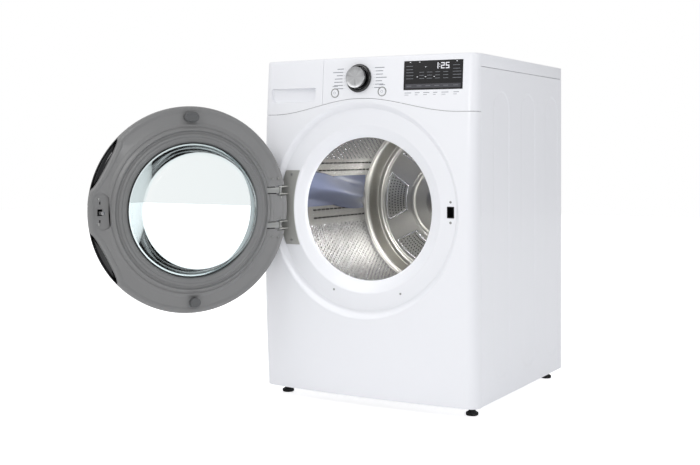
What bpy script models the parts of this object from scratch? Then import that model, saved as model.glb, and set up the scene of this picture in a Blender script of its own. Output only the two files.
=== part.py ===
"""Front-loading heat-pump clothes dryer, modelled as it comes apart on a bench.

Frame: metres, +Z up. The origin is the middle of the base pan's underside, the front faces -Y and
X runs to the right as seen from the front. The door stands open.
"""
import math

import bmesh
import bpy
from mathutils import Matrix, Vector

# ---- driving dimensions -------------------------------------------------------------------------
WIDTH = 0.686
HALF = WIDTH / 2
HEIGHT = 0.962                 # base pan underside to the top of the cabinet
FRONT_SEAM_Y = -0.320          # where the side panels end and the moulded front begins
REAR_Y = 0.320
GAP = 0.0003                   # left between touching pieces
SHEET = 0.0012                 # painted steel panels
MOULD = 0.0025                 # plastic mouldings
CORNER_R = 0.030               # upright front corners
EDGE_R = 0.005                 # top edge of the front
CROWN_BASE = 0.028             # how far the front stands proud of the seam at its sides
CROWN_ACROSS = 0.020           # extra at the middle of the width
CROWN_UP = 0.0195              # extra at the middle of the height
TOP_SEAM_Z = 0.926             # lower edge of the top panel
ARCH_LOW_Z = 0.8035            # seam under the control panel, at its ends
ARCH_RISE = 0.0415
ARCH_HALF = 0.300
SEAM = 0.0010
DRAWER_SEAM_X = -0.128

AXIS_Z = 0.532                 # drum, door and opening are concentric
OPENING_R = 0.2035
STEP_R = 0.237
RECESS_R = 0.2865
RECESS_Y = -0.357
RECESS_SLOPE = 0.80            # widening of the recess wall per metre towards the front

DRUM_R = 0.287
DRUM_FRONT_Y = -0.289
DRUM_REAR_Y = 0.210
DRUM_WALL = 0.0015
LIFTER_ANGLES = (172.0, 52.0, 292.0)
LIFTER_HEIGHT = 0.056

HINGE = Vector((-0.262, -0.392, AXIS_Z))
DOOR_OPEN = 123.0              # degrees, as it stands
DOOR_R = 0.291
DOOR_X = 0.007                 # the shut door's centre is this far towards its free edge
HINGE_OFFSET_Z = 0.0505
LATCH_X = 0.269
LATCH_Z = 0.530

KNOB = (-0.0075, 0.902)
KNOB_R = 0.031
BEZEL_R = 0.0403
BUTTONS = {"power_button": (-0.0853, 0.862), "start_button": (0.0676, 0.8625)}
BUTTON_R = 0.0108
DISPLAY_X = (0.133, 0.306)
DISPLAY_Z = (0.864, 0.9445)
GRIP_X = (-0.314, -0.153)
GRIP_Z = (0.838, 0.880)
GRIP_DEPTH = 0.016

FOOT_X = 0.302
FOOT_Y = 0.288
FOOT_DROP = 0.028
FOOT_R = 0.0175

MOTOR = (0.200, 0.125)
PULLEY_R = 0.0100
IDLER = (0.135, 0.1485)
IDLER_PIVOT = (0.075, 0.130)
IDLER_R = 0.0145
BELT_Y = -0.0475
BELT_WIDTH = 0.010
BELT_THICK = 0.0020
ROLLER_R = 0.030
ROLLER_ANGLE = 35.0
ROLLER_Y = -0.269

COIL_X = (-0.325, -0.125)
COIL_Z = (0.0064, 0.235)
COIL_FOOTING_Z = 0.0120
FIN_COUNT = 21
FIN_THICK = 0.0025

FINE = 32                      # facets round the large turned pieces
COARSE = 16                    # facets round the small ones


# ---- scene, materials ---------------------------------------------------------------------------
for old in list(bpy.data.objects):
    bpy.data.objects.remove(old, do_unlink=True)


def collection(name):
    group = bpy.data.collections.new(name)
    bpy.context.scene.collection.children.link(group)
    return group


PARTS = collection("clothes_dryer")
CUTTERS = collection("cutters")


def material(name, colour, roughness, metallic=0.0):
    made = bpy.data.materials.new(name)
    made.use_nodes = True
    shader = made.node_tree.nodes["Principled BSDF"]
    shader.inputs["Base Color"].default_value = (*colour, 1.0)
    shader.inputs["Roughness"].default_value = roughness
    shader.inputs["Metallic"].default_value = metallic
    return made


WHITE_PAINT = material("white_enamel", (0.86, 0.87, 0.90), 0.35)
WHITE_PLASTIC = material("white_plastic", (0.87, 0.88, 0.91), 0.32)
GREY_PLASTIC = material("grey_plastic", (0.22, 0.22, 0.22), 0.45)
PALE_PLASTIC = material("pale_plastic", (0.62, 0.64, 0.67), 0.45)
BLACK_PLASTIC = material("black_plastic", (0.02, 0.02, 0.02), 0.25)
RUBBER = material("black_rubber", (0.025, 0.025, 0.025), 0.7)
STAINLESS = material("stainless_steel", (0.60, 0.60, 0.59), 0.25, 1.0)
ZINC_STEEL = material("zinc_plated_steel", (0.55, 0.55, 0.54), 0.4, 1.0)
CAST_ZINC = material("cast_zinc", (0.35, 0.35, 0.33), 0.45, 1.0)
ALUMINIUM = material("aluminium_fins", (0.75, 0.76, 0.78), 0.35, 1.0)
LIFTER_PLASTIC = material("blue_grey_plastic", (0.15, 0.17, 0.21), 0.4)
GLASS = material("clear_glass", (0.90, 0.95, 0.96), 0.03)
GREEN_BOARD = material("circuit_board", (0.03, 0.18, 0.07), 0.5)
DARK_ENAMEL = material("black_enamel", (0.03, 0.03, 0.035), 0.4)
FELT = material("grey_felt", (0.30, 0.30, 0.30), 0.95)


# ---- modelling helpers --------------------------------------------------------------------------
def add(name, mesh, paint, group=None):
    """Put a mesh in the scene as a named sub-part."""
    made = bpy.data.objects.new(name, mesh)
    made.data.materials.clear()
    made.data.materials.append(paint)
    (group or PARTS).objects.link(made)
    return made


def as_cutter(tool):
    """Hide a shape that only cuts or joins another one."""
    for group in list(tool.users_collection):
        group.objects.unlink(tool)
    CUTTERS.objects.link(tool)
    tool.hide_render = True
    tool.display_type = "WIRE"
    return tool


def smooth(target, angle=35.0):
    target.data.shade_smooth()
    target.data.set_sharp_from_angle(angle=math.radians(angle))


def block(name, low, high, paint):
    """A box between two corners, with its scale applied."""
    low, high = Vector(low), Vector(high)
    mesh = bpy.data.meshes.new(name)
    shape = bmesh.new()
    bmesh.ops.create_cube(shape, size=1.0, matrix=Matrix.Diagonal((*(high - low), 1.0)))
    shape.to_mesh(mesh)
    shape.free()
    made = add(name, mesh, paint)
    made.location = (low + high) / 2
    return made


def tray(name, low, high, wall, paint, open_side):
    """A thin-walled box with one side missing; open_side is its outward direction."""
    made = block(name, low, high, paint)
    shape = bmesh.new()
    shape.from_mesh(made.data)
    direction = Vector(open_side)
    shape.faces.ensure_lookup_table()
    lid = [face for face in shape.faces if face.normal.dot(direction) > 0.9]
    bmesh.ops.delete(shape, geom=lid, context="FACES")
    shape.to_mesh(made.data)
    shape.free()
    thicken(made, wall)
    return made


def thicken(target, wall, offset=-1.0):
    solid = target.modifiers.new("wall", "SOLIDIFY")
    solid.thickness = wall
    solid.offset = offset
    solid.use_even_offset = True
    return solid


def round_edges(target, width, segments=2, angle=30.0):
    bevel = target.modifiers.new("edges", "BEVEL")
    bevel.width = width
    bevel.segments = segments
    bevel.limit_method = "ANGLE"
    bevel.angle_limit = math.radians(angle)
    return bevel


def boolean(target, tool, operation="DIFFERENCE"):
    change = target.modifiers.new(operation.lower(), "BOOLEAN")
    change.operation = operation
    change.solver = "EXACT"
    change.object = tool
    as_cutter(tool)
    return change


def turned(name, profile, place, axis, paint, steps=COARSE, closed=True):
    """Turn a profile of (radius, height) points about an axis through place.

    A closed profile makes a ring; an open one starts and ends on the axis.
    """
    mesh = bpy.data.meshes.new(name)
    points = list(profile)
    area = 0.0
    for (r0, h0), (r1, h1) in zip(points, points[1:] + points[:1]):
        area += r0 * h1 - r1 * h0
    if area > 0:
        points.reverse()
    shape = bmesh.new()
    verts = [shape.verts.new((radius, 0.0, height)) for radius, height in points]
    for first, second in zip(verts, verts[1:]):
        shape.edges.new((first, second))
    if closed:
        shape.edges.new((verts[-1], verts[0]))
    shape.to_mesh(mesh)
    shape.free()
    made = add(name, mesh, paint)
    screw = made.modifiers.new("turn", "SCREW")
    screw.axis = "Z"
    screw.angle = math.tau
    screw.steps = steps
    screw.render_steps = steps
    screw.use_merge_vertices = True
    screw.merge_threshold = 0.00005
    screw.use_smooth_shade = True
    made.location = place
    made.rotation_mode = "QUATERNION"
    made.rotation_quaternion = Vector((0, 0, 1)).rotation_difference(Vector(axis).normalized())
    return made


def rod(name, radius, start, end, paint, steps=COARSE):
    """A plain round bar between two points."""
    start, end = Vector(start), Vector(end)
    length = (end - start).length
    mesh = bpy.data.meshes.new(name)
    shape = bmesh.new()
    bmesh.ops.create_cone(shape, cap_ends=True, segments=steps, radius1=radius, radius2=radius,
                          depth=length)
    shape.to_mesh(mesh)
    shape.free()
    made = add(name, mesh, paint)
    made.location = (start + end) / 2
    made.rotation_mode = "QUATERNION"
    made.rotation_quaternion = Vector((0, 0, 1)).rotation_difference((end - start).normalized())
    smooth(made)
    return made


def surface(name, across, up, place, paint):
    """An open sheet: place(u, v) gives each point for u and v from 0 to 1."""
    mesh = bpy.data.meshes.new(name)
    shape = bmesh.new()
    bmesh.ops.create_grid(shape, x_segments=across, y_segments=up, size=1.0)
    for vert in shape.verts:
        vert.co = place((vert.co.x + 1) / 2, (vert.co.y + 1) / 2)
    bmesh.ops.remove_doubles(shape, verts=shape.verts, dist=0.00002)
    shape.to_mesh(mesh)
    shape.free()
    return add(name, mesh, paint)


def plate(name, loops, thickness, paint):
    """A flat outline in XY, extruded both ways along Z, as a mesh. Later loops are holes."""
    curve = bpy.data.curves.new(name, "CURVE")
    curve.dimensions = "2D"
    curve.fill_mode = "BOTH"
    curve.extrude = thickness / 2
    for loop in loops:
        spline = curve.splines.new("POLY")
        spline.points.add(len(loop) - 1)
        for point, (x, y) in zip(spline.points, loop):
            point.co = (x, y, 0.0, 1.0)
        spline.use_cyclic_u = True
    guide = bpy.data.objects.new(name + "_outline", curve)
    CUTTERS.objects.link(guide)
    seen = guide.evaluated_get(bpy.context.evaluated_depsgraph_get())
    mesh = bpy.data.meshes.new_from_object(seen)
    shape = bmesh.new()
    shape.from_mesh(mesh)
    bmesh.ops.remove_doubles(shape, verts=shape.verts, dist=0.00001)
    bmesh.ops.recalc_face_normals(shape, faces=shape.faces)
    shape.to_mesh(mesh)
    shape.free()
    bpy.data.objects.remove(guide, do_unlink=True)
    mesh.name = name
    return add(name, mesh, paint)


def arc(centre, radius, start, end, steps):
    """Points on a circle between two angles in degrees."""
    points = []
    for step in range(steps + 1):
        angle = math.radians(start + (end - start) * step / steps)
        points.append((centre[0] + radius * math.cos(angle), centre[1] + radius * math.sin(angle)))
    return points


def stadium(first, second, radius, steps=6):
    """Outline of two equal circles joined by straight lines."""
    heading = math.degrees(math.atan2(second[1] - first[1], second[0] - first[0]))
    ends = arc(second, radius, heading - 90, heading + 90, steps)
    return ends + arc(first, radius, heading + 90, heading + 270, steps)


def facing_front(made, y):
    """Stand a plate drawn in XY upright, so its Y becomes Z, at a depth."""
    made.rotation_euler = (math.pi / 2, 0, 0)
    made.location = (0, y, 0)
    return made


# ---- the crowned front --------------------------------------------------------------------------
def crown_y(x, z):
    """Depth of the front's outer skin."""
    rise = z / HEIGHT
    across = CROWN_ACROSS * (1 - (x / HALF) ** 2)
    return FRONT_SEAM_Y - CROWN_BASE - across - CROWN_UP * 4 * rise * (1 - rise)


def crown_normal(x, z):
    lean = CROWN_UP * 4 * (1 - 2 * z / HEIGHT) / HEIGHT
    turn = CROWN_ACROSS * 2 * x / HALF ** 2
    return Vector((turn, -1.0, -lean)).normalized()


def on_crown(x, z, proud=0.0):
    return Vector((x, crown_y(x, z), z)) + crown_normal(x, z) * proud


def seam_arch(x):
    """Height of the seam between the front panel and the control panel."""
    reach = min(abs(x), ARCH_HALF)
    return ARCH_LOW_Z + ARCH_RISE * 0.5 * (1 + math.cos(math.pi * reach / ARCH_HALF))


CORNER_SLOPE = math.atan(CROWN_ACROSS * 2 * (HALF - CORNER_R) / HALF ** 2)
CORNER_X = HALF - CORNER_R + CORNER_R * math.sin(CORNER_SLOPE)
REAR_LIP_Y = FRONT_SEAM_Y - GAP


def outline_point(position, z, inset=0.0):
    """Point on the front's plan outline.

    position runs from -2 at the left rear lip, -1 to 1 across the face, to 2 at the right rear lip.
    """
    side = -1 if position < 0 else 1
    reach = abs(position)
    if reach <= 1:
        x = position * CORNER_X
        return Vector((x, crown_y(x, z) + inset, z))
    centre_y = crown_y(CORNER_X, z) + CORNER_R * math.cos(CORNER_SLOPE)
    if reach <= 1.8:
        turn = CORNER_SLOPE + (math.pi / 2 - CORNER_SLOPE) * (reach - 1) / 0.8
        radius = CORNER_R - inset
        return Vector((side * (HALF - CORNER_R + radius * math.sin(turn)),
                       centre_y - radius * math.cos(turn), z))
    blend = (reach - 1.8) / 0.2
    return Vector((side * (HALF - inset), centre_y + (REAR_LIP_Y - centre_y) * blend, z))


def spread(u, first, last):
    """Positions with extra stations at the corners: equal steps of u, uneven steps of position."""
    stations = [station for station in STATIONS if first < station < last]
    stations = [first] + stations + [last]
    place = u * (len(stations) - 1)
    index = min(int(round(place)), len(stations) - 1)
    return stations[index]


def station_count(first, last):
    return len([station for station in STATIONS if first < station < last]) + 1


STATIONS = [-2.0, -1.8, -1.6, -1.4, -1.2, -1.0]
STATIONS += [step / 8 for step in range(-7, 8)]
STATIONS += [1.0, 1.2, 1.4, 1.6, 1.8, 2.0]


def front_skin(name, first, last, lower, rows, paint, top=True):
    """Open sheet of the crowned front between two outline positions.

    lower(x) gives the bottom edge; with top, the sheet rounds over and runs back to the rear lip.
    """
    turn_rows = 3 if top else 0
    total = rows + turn_rows + (1 if top else 0)

    def place(u, v):
        position = spread(u, first, last)
        row = int(round(v * total))
        flat = outline_point(position, HEIGHT)
        low = lower(flat.x)
        crest = HEIGHT - EDGE_R if top else seam_arch(flat.x) - SEAM / 2
        if row <= rows:
            return outline_point(position, low + (crest - low) * row / rows)
        if row <= rows + turn_rows:
            turn = math.pi / 2 * (row - rows) / turn_rows
            inset = EDGE_R * (1 - math.cos(turn))
            edge = outline_point(position, HEIGHT - EDGE_R, inset)
            edge.z = HEIGHT - EDGE_R + EDGE_R * math.sin(turn)
            return edge
        edge = outline_point(position, HEIGHT - EDGE_R, EDGE_R)
        edge.y = REAR_LIP_Y
        edge.z = HEIGHT
        return edge

    return surface(name, station_count(first, last), total, place, paint)


def crown_patch(name, x_range, z_range, across, up, paint, inset=0.0):
    """Open sheet of the front's skin between two widths and two heights."""
    def place(u, v):
        x = x_range[0] + (x_range[1] - x_range[0]) * u
        z = z_range[0] + (z_range[1] - z_range[0]) * v
        return Vector((x, crown_y(x, z) + inset, z))
    return surface(name, across, up, place, paint)


def position_of(x):
    return x / CORNER_X


# ---- cabinet ------------------------------------------------------------------------------------
def build_base():
    pan = tray("base_pan", (-0.3408, -0.3160, 0.004), (0.3408, 0.3160, 0.045), 0.002, WHITE_PAINT,
               (0, 0, 1))
    plateau = block("base_plateau", (-0.25, -0.23, 0.0), (0.25, 0.23, 0.0055), WHITE_PAINT)
    boolean(pan, plateau, "UNION")
    for side in (-1, 1):
        for end in (-1, 1):
            boolean(pan, rod("foot_hole", 0.0060, (side * FOOT_X, end * FOOT_Y, -0.01),
                             (side * FOOT_X, end * FOOT_Y, 0.02), ZINC_STEEL, 16))


def build_side_panel(name, side):
    """A sheet with its front and rear edges folded inwards."""
    sheet = tray(name, (min(side * HALF, side * 0.325), FRONT_SEAM_Y, 0.002),
                 (max(side * HALF, side * 0.325), 0.318, TOP_SEAM_Z - 0.0005), SHEET, WHITE_PAINT,
                 (-side, 0, 0))
    shape = bmesh.new()
    shape.from_mesh(sheet.data)
    ends = [face for face in shape.faces if abs(face.normal.z) > 0.9]
    bmesh.ops.delete(shape, geom=ends, context="FACES")
    shape.to_mesh(sheet.data)
    shape.free()


def build_back():
    back = block("back_panel", (-0.3425, 0.3185, 0.002), (0.3425, REAR_Y, TOP_SEAM_Z - 0.0005),
                 WHITE_PAINT)
    boolean(back, block("access_opening", (-0.17, 0.31, 0.18), (0.17, 0.33, 0.62), WHITE_PAINT))
    boolean(back, block("inlet_opening", (0.2345, 0.31, 0.8445), (0.2755, 0.33, 0.8755),
                        WHITE_PAINT))
    cover = block("rear_access_cover", (-0.182, 0.3165, 0.168), (0.182, 0.3182, 0.632), WHITE_PAINT)
    for row in range(5):
        z = 0.25 + 0.03 * row
        boolean(cover, block("cover_vent", (-0.10, 0.31, z), (0.10, 0.325, z + 0.008), WHITE_PAINT))
    inlet = block("power_inlet", (0.235, 0.295, 0.845), (0.275, 0.3198, 0.875), BLACK_PLASTIC)
    boolean(inlet, block("inlet_socket", (0.241, 0.302, 0.850), (0.269, 0.33, 0.870),
                         BLACK_PLASTIC))


def build_top():
    top = tray("top_panel", (-HALF, -0.3197, TOP_SEAM_Z), (HALF, REAR_Y, HEIGHT), 0.0020,
               WHITE_PAINT, (0, 0, -1))
    round_edges(top, 0.003, 2)


def wall_radius(y):
    """Radius of the recess wall at a depth in front of the recess floor."""
    return RECESS_R + RECESS_SLOPE * (RECESS_Y - y)


def build_front_panel():
    """Crowned sheet with the round door recess turned into it."""
    panel = front_skin("front_panel", -2.0, 2.0, lambda x: 0.001, 10, WHITE_PAINT, top=False)
    thicken(panel, MOULD)
    front = -0.395
    hole = turned("recess_hole", [(0, -0.30), (RECESS_R + 0.001, -0.30),
                                  (RECESS_R + 0.001, RECESS_Y), (wall_radius(front) + 0.001, front),
                                  (0, front)],
                  (0, 0, AXIS_Z), (0, 1, 0), WHITE_PAINT, FINE, closed=False)
    boolean(panel, hole)
    inner_front = wall_radius(front)
    dish = turned("recess_dish", [
        (OPENING_R, -0.337), (OPENING_R + 0.006, -0.3415), (STEP_R - 0.006, -0.3520),
        (STEP_R, -0.3560), (STEP_R + 0.004, RECESS_Y), (RECESS_R, RECESS_Y),
        (inner_front, front), (inner_front + 0.0030, front),
        (RECESS_R + 0.0030, RECESS_Y + MOULD), (STEP_R, RECESS_Y + MOULD + 0.0005),
        (OPENING_R + 0.006, -0.3375), (OPENING_R, -0.3345)],
        (0, 0, AXIS_Z), (0, 1, 0), WHITE_PAINT, FINE)
    block_skin = front_skin("crown_block", -2.0, 2.0, lambda x: 0.001, 10, WHITE_PAINT, top=False)
    shape = bmesh.new()
    shape.from_mesh(block_skin.data)
    rim = [edge for edge in shape.edges if edge.is_boundary]
    made = bmesh.ops.extrude_edge_only(shape, edges=rim)
    for vert in (item for item in made["geom"] if isinstance(item, bmesh.types.BMVert)):
        vert.co.y = -0.300
    bmesh.ops.holes_fill(shape, edges=[edge for edge in shape.edges if edge.is_boundary], sides=0)
    bmesh.ops.recalc_face_normals(shape, faces=shape.faces)
    shape.to_mesh(block_skin.data)
    shape.free()
    block_skin.location.y = 0.0007
    boolean(dish, block_skin, "INTERSECT")
    boolean(panel, dish, "UNION")
    boolean(panel, block("catch_hole", (LATCH_X - 0.0105, -0.40, LATCH_Z - 0.0155),
                         (LATCH_X + 0.0105, -0.33, LATCH_Z + 0.0155), WHITE_PAINT))


def build_control_panel():
    first = position_of(DRAWER_SEAM_X + SEAM / 2)
    panel = front_skin("control_panel", first, 2.0, lambda x: seam_arch(x) + SEAM / 2, 5,
                       WHITE_PLASTIC)
    thicken(panel, MOULD)
    boolean(panel, block("display_hole", (DISPLAY_X[0], -0.40, DISPLAY_Z[0]),
                         (DISPLAY_X[1], -0.345, DISPLAY_Z[1]), WHITE_PLASTIC))
    boolean(panel, rod("knob_hole", 0.0060, on_crown(*KNOB, 0.02), on_crown(*KNOB, -0.02),
                       WHITE_PLASTIC))
    for spot in BUTTONS.values():
        boolean(panel, rod("button_hole", BUTTON_R + 0.0006, on_crown(*spot, 0.02),
                           on_crown(*spot, -0.02), WHITE_PLASTIC))
    edge = 0.0003
    window = crown_patch("display_window", (DISPLAY_X[0] + edge, DISPLAY_X[1] - edge),
                         (DISPLAY_Z[0] + edge, DISPLAY_Z[1] - edge), 6, 3, BLACK_PLASTIC)
    thicken(window, 0.003)
    block("control_board", (0.125, -0.3500, 0.860), (0.310, -0.3484, 0.948), GREEN_BOARD)


def build_drawer():
    """Water drawer: its front, the tank behind it and the tank's lid."""
    last = position_of(DRAWER_SEAM_X - SEAM / 2)
    front = front_skin("drawer_front", -2.0, last, lambda x: seam_arch(x) + SEAM / 2, 5,
                       WHITE_PLASTIC)
    thicken(front, MOULD)
    middle = ((GRIP_X[0] + GRIP_X[1]) / 2, (GRIP_Z[0] + GRIP_Z[1]) / 2)
    depth = crown_y(*middle)
    boolean(front, grip_shape("grip_hole", 0.0, -0.40, -0.340))
    cup = grip_shape("grip_cup", 0.0025, depth + 0.0035, depth + GRIP_DEPTH + MOULD)
    boolean(cup, grip_shape("grip_hollow", 0.0, -0.40, depth + GRIP_DEPTH))
    boolean(front, cup, "UNION")
    tray("water_tank", (-0.3235, -0.3400, 0.8420), (-0.135, 0.100, 0.9160), 0.002,
         PALE_PLASTIC, (0, 0, 1))
    lid = block("tank_lid", (-0.3235, -0.3400, 0.9163), (-0.135, 0.100, 0.9183), PALE_PLASTIC)
    boolean(lid, block("tank_spout", (-0.255, 0.040, 0.90), (-0.215, 0.075, 0.93), PALE_PLASTIC))
    guide = tray("tank_guide", (-0.3270, -0.3150, 0.8370), (-0.1315, 0.110, 0.8700), 0.0015,
                 PALE_PLASTIC, (0, 0, 1))
    boolean(guide, block("guide_mouth", (-0.3253, -0.33, 0.8387), (-0.1332, -0.30, 0.88),
                         PALE_PLASTIC))


def grip_shape(name, wall, front, rear):
    """Solid of the finger recess: square at the top, rounded at its lower corners."""
    left, right = GRIP_X[0] - wall, GRIP_X[1] + wall
    low, high = GRIP_Z[0] - wall, GRIP_Z[1] + wall
    radius = 0.018
    loop = arc((left + radius, low + radius), radius, 180, 270, 5)
    loop += arc((right - radius, low + radius), radius, 270, 360, 5)
    loop += [(right, high), (left, high)]
    made = plate(name, [loop], rear - front, WHITE_PLASTIC)
    return facing_front(made, (front + rear) / 2)


# ---- knob and buttons ---------------------------------------------------------------------------
def build_controls():
    seat = on_crown(*KNOB)
    axis = crown_normal(*KNOB)
    turned("knob_bezel", [(KNOB_R + 0.0012, 0.0006), (BEZEL_R, 0.0010), (BEZEL_R, 0.0030),
                          (BEZEL_R - 0.0025, 0.0060), (KNOB_R + 0.0030, 0.0070),
                          (KNOB_R + 0.0012, 0.0050)],
           seat + axis * 0.0005, axis, BLACK_PLASTIC, 32)
    turned("control_knob", [(0, -0.012), (0.0035, -0.012), (0.0035, 0.0015), (KNOB_R, 0.0015),
                            (KNOB_R, 0.0215), (KNOB_R - 0.0020, 0.0235), (0, 0.0240)],
           seat, axis, ZINC_STEEL, 32, closed=False)
    for name, spot in BUTTONS.items():
        seat = on_crown(*spot)
        axis = crown_normal(*spot)
        turned(name, [(0, -0.006), (BUTTON_R, -0.006), (BUTTON_R, 0.0008),
                      (BUTTON_R - 0.0010, 0.0018), (0, 0.0024)], seat, axis, WHITE_PLASTIC, 20,
               closed=False)


# ---- drum and its supports ----------------------------------------------------------------------
def build_drum():
    inner = DRUM_R - DRUM_WALL
    turned("drum_shell", [
        (0.2600, DRUM_FRONT_Y), (0.2700, DRUM_FRONT_Y), (0.2780, DRUM_FRONT_Y + 0.004),
        (DRUM_R, DRUM_FRONT_Y + 0.012), (DRUM_R, DRUM_REAR_Y), (inner, DRUM_REAR_Y),
        (inner, DRUM_FRONT_Y + 0.013), (0.2770, DRUM_FRONT_Y + 0.0055),
        (0.2695, DRUM_FRONT_Y + 0.0015), (0.2600, DRUM_FRONT_Y + 0.0015)],
        (0, 0, AXIS_Z), (0, 1, 0), STAINLESS, FINE)
    rim = inner - GAP
    turned("drum_back", [
        (0, 0.1800), (0.042, 0.1800), (0.072, 0.1960), (0.235, 0.1960), (0.248, 0.1880),
        (0.258, 0.1880), (0.270, 0.1500), (rim - 0.0015, 0.1420), (rim, 0.1420), (rim, 0.1450),
        (0.2715, 0.1520), (0.2595, 0.1898), (0.2485, 0.1898), (0.2355, 0.1978), (0.0710, 0.1978),
        (0.0410, 0.1850), (0.0120, 0.1850), (0.0120, 0.2640), (0, 0.2640)],
        (0, 0, AXIS_Z), (0, 1, 0), STAINLESS, FINE, closed=False)
    for index, angle in enumerate(LIFTER_ANGLES):
        build_lifter("lifter_%d" % (index + 1), math.radians(angle))


def build_lifter(name, angle):
    """A hollow-looking ridge that leans one way at the front and the other at the back."""
    mesh = bpy.data.meshes.new(name)
    shape = bmesh.new()
    bmesh.ops.create_cube(shape, size=2.0)
    bmesh.ops.subdivide_edges(shape, edges=shape.edges, cuts=5, use_grid_fill=True)
    base = DRUM_R - DRUM_WALL - 0.0016
    start, end = -0.262, 0.130
    for vert in shape.verts:
        along, across, rise = vert.co
        run = math.cos(along * math.pi / 2) ** 0.6
        height = 0.004 + LIFTER_HEIGHT * run * (1 - abs(across) ** 1.6) ** 1.2
        lean = 0.070 * math.sin(along * 1.9)
        swing = angle + across * 0.165 + lean * (rise + 1) / 2
        radius = base - height * (rise + 1) / 2
        y = start + (end - start) * (along + 1) / 2
        vert.co = (radius * math.cos(swing), y, radius * math.sin(swing))
    bmesh.ops.reverse_faces(shape, faces=shape.faces)
    shape.to_mesh(mesh)
    shape.free()
    made = add(name, mesh, LIFTER_PLASTIC)
    made.location = (0, 0, AXIS_Z)
    smooth(made, 50)


def upright_plate(name, y, thickness, x_half, low, high, holes, paint):
    outline = [(-x_half, low), (x_half, low), (x_half, high), (-x_half, high)]
    made = plate(name, [outline] + holes, thickness, paint)
    return facing_front(made, y)


def circle(centre, radius, steps=FINE):
    return arc(centre, radius, 0, 360, steps)[:-1]


def roller_spot(side):
    reach = DRUM_R + 0.0006 + ROLLER_R
    swing = math.radians(ROLLER_ANGLE)
    return side * reach * math.sin(swing), AXIS_Z - reach * math.cos(swing)


def build_supports():
    bulkhead = upright_plate("front_bulkhead", -0.3035, SHEET, 0.333, 0.0075, 0.832,
                             [circle((0, AXIS_Z), 0.2500)], ZINC_STEEL)
    upright_plate("rear_bulkhead", 0.2450, SHEET, 0.333, 0.0075, 0.832,
                  [circle((0, AXIS_Z), 0.0300)], ZINC_STEEL)
    turned("rear_bearing", [(0.01215, 0.2380), (0.0294, 0.2380), (0.0294, 0.2520),
                            (0.01215, 0.2520)], (0, 0, AXIS_Z), (0, 1, 0), ZINC_STEEL, FINE)
    turned("drum_front_seal", [(0.2505, -0.3015), (0.2690, -0.3015), (0.2690, -0.2935),
                               (0.2505, -0.2935)], (0, 0, AXIS_Z), (0, 1, 0), FELT, FINE)
    collar = turned("front_collar", [
        (OPENING_R + 0.0012, -0.3335), (OPENING_R + 0.0045, -0.3335), (0.2485, -0.3065),
        (0.2485, -0.2990), (0.2460, -0.2990), (0.2460, -0.3075)],
        (0, 0, AXIS_Z), (0, 1, 0), PALE_PLASTIC, FINE)
    boolean(collar, block("filter_slot", (-0.108, -0.36, 0.25), (0.108, -0.3060, 0.40),
                          PALE_PLASTIC))
    for side, word in ((-1, "left"), (1, "right")):
        x, z = roller_spot(side)
        turned("front_roller_" + word, [(0.00415, -0.006), (ROLLER_R, -0.006), (ROLLER_R, 0.006),
                                        (0.00415, 0.006)],
               (x, ROLLER_Y, z), (0, 1, 0), RUBBER, COARSE)
        axle = rod("roller_axle", 0.0040, (x, -0.3030, z), (x, ROLLER_Y + 0.010, z), ZINC_STEEL, 16)
        boolean(bulkhead, axle, "UNION")


# ---- belt drive ---------------------------------------------------------------------------------
def tangent(first, second):
    """Straight run between two circles, each (x, z, radius, turn), turn +1 anticlockwise."""
    gap = Vector((second[0] - first[0], second[1] - first[1]))
    offset = first[2] * first[3] - second[2] * second[3]
    heading = math.atan2(gap.y, gap.x)
    lean = math.asin(offset / gap.length)
    normal = heading - math.pi / 2 + lean
    away = Vector((math.cos(normal), math.sin(normal)))
    start = Vector(first[:2]) + away * first[2] * first[3]
    end = Vector(second[:2]) + away * second[2] * second[3]
    return start, end


def belt_loop(wheels):
    """Closed path round the wheels in order: arcs on them and straight runs between them."""
    count = len(wheels)
    runs = [tangent(wheels[index], wheels[(index + 1) % count]) for index in range(count)]
    points = []
    for index, wheel in enumerate(wheels):
        arrive = runs[index - 1][1] - Vector(wheel[:2])
        leave = runs[index][0] - Vector(wheel[:2])
        start = math.degrees(math.atan2(arrive.y, arrive.x))
        end = math.degrees(math.atan2(leave.y, leave.x))
        if wheel[3] > 0 and end < start:
            end += 360
        if wheel[3] < 0 and end > start:
            end -= 360
        coarseness = 4.5 if wheel[2] > 0.1 else 15
        steps = max(3, int(abs(end - start) / coarseness))
        points += arc(wheel[:2], wheel[2], start, end, steps)
    return points


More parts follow.
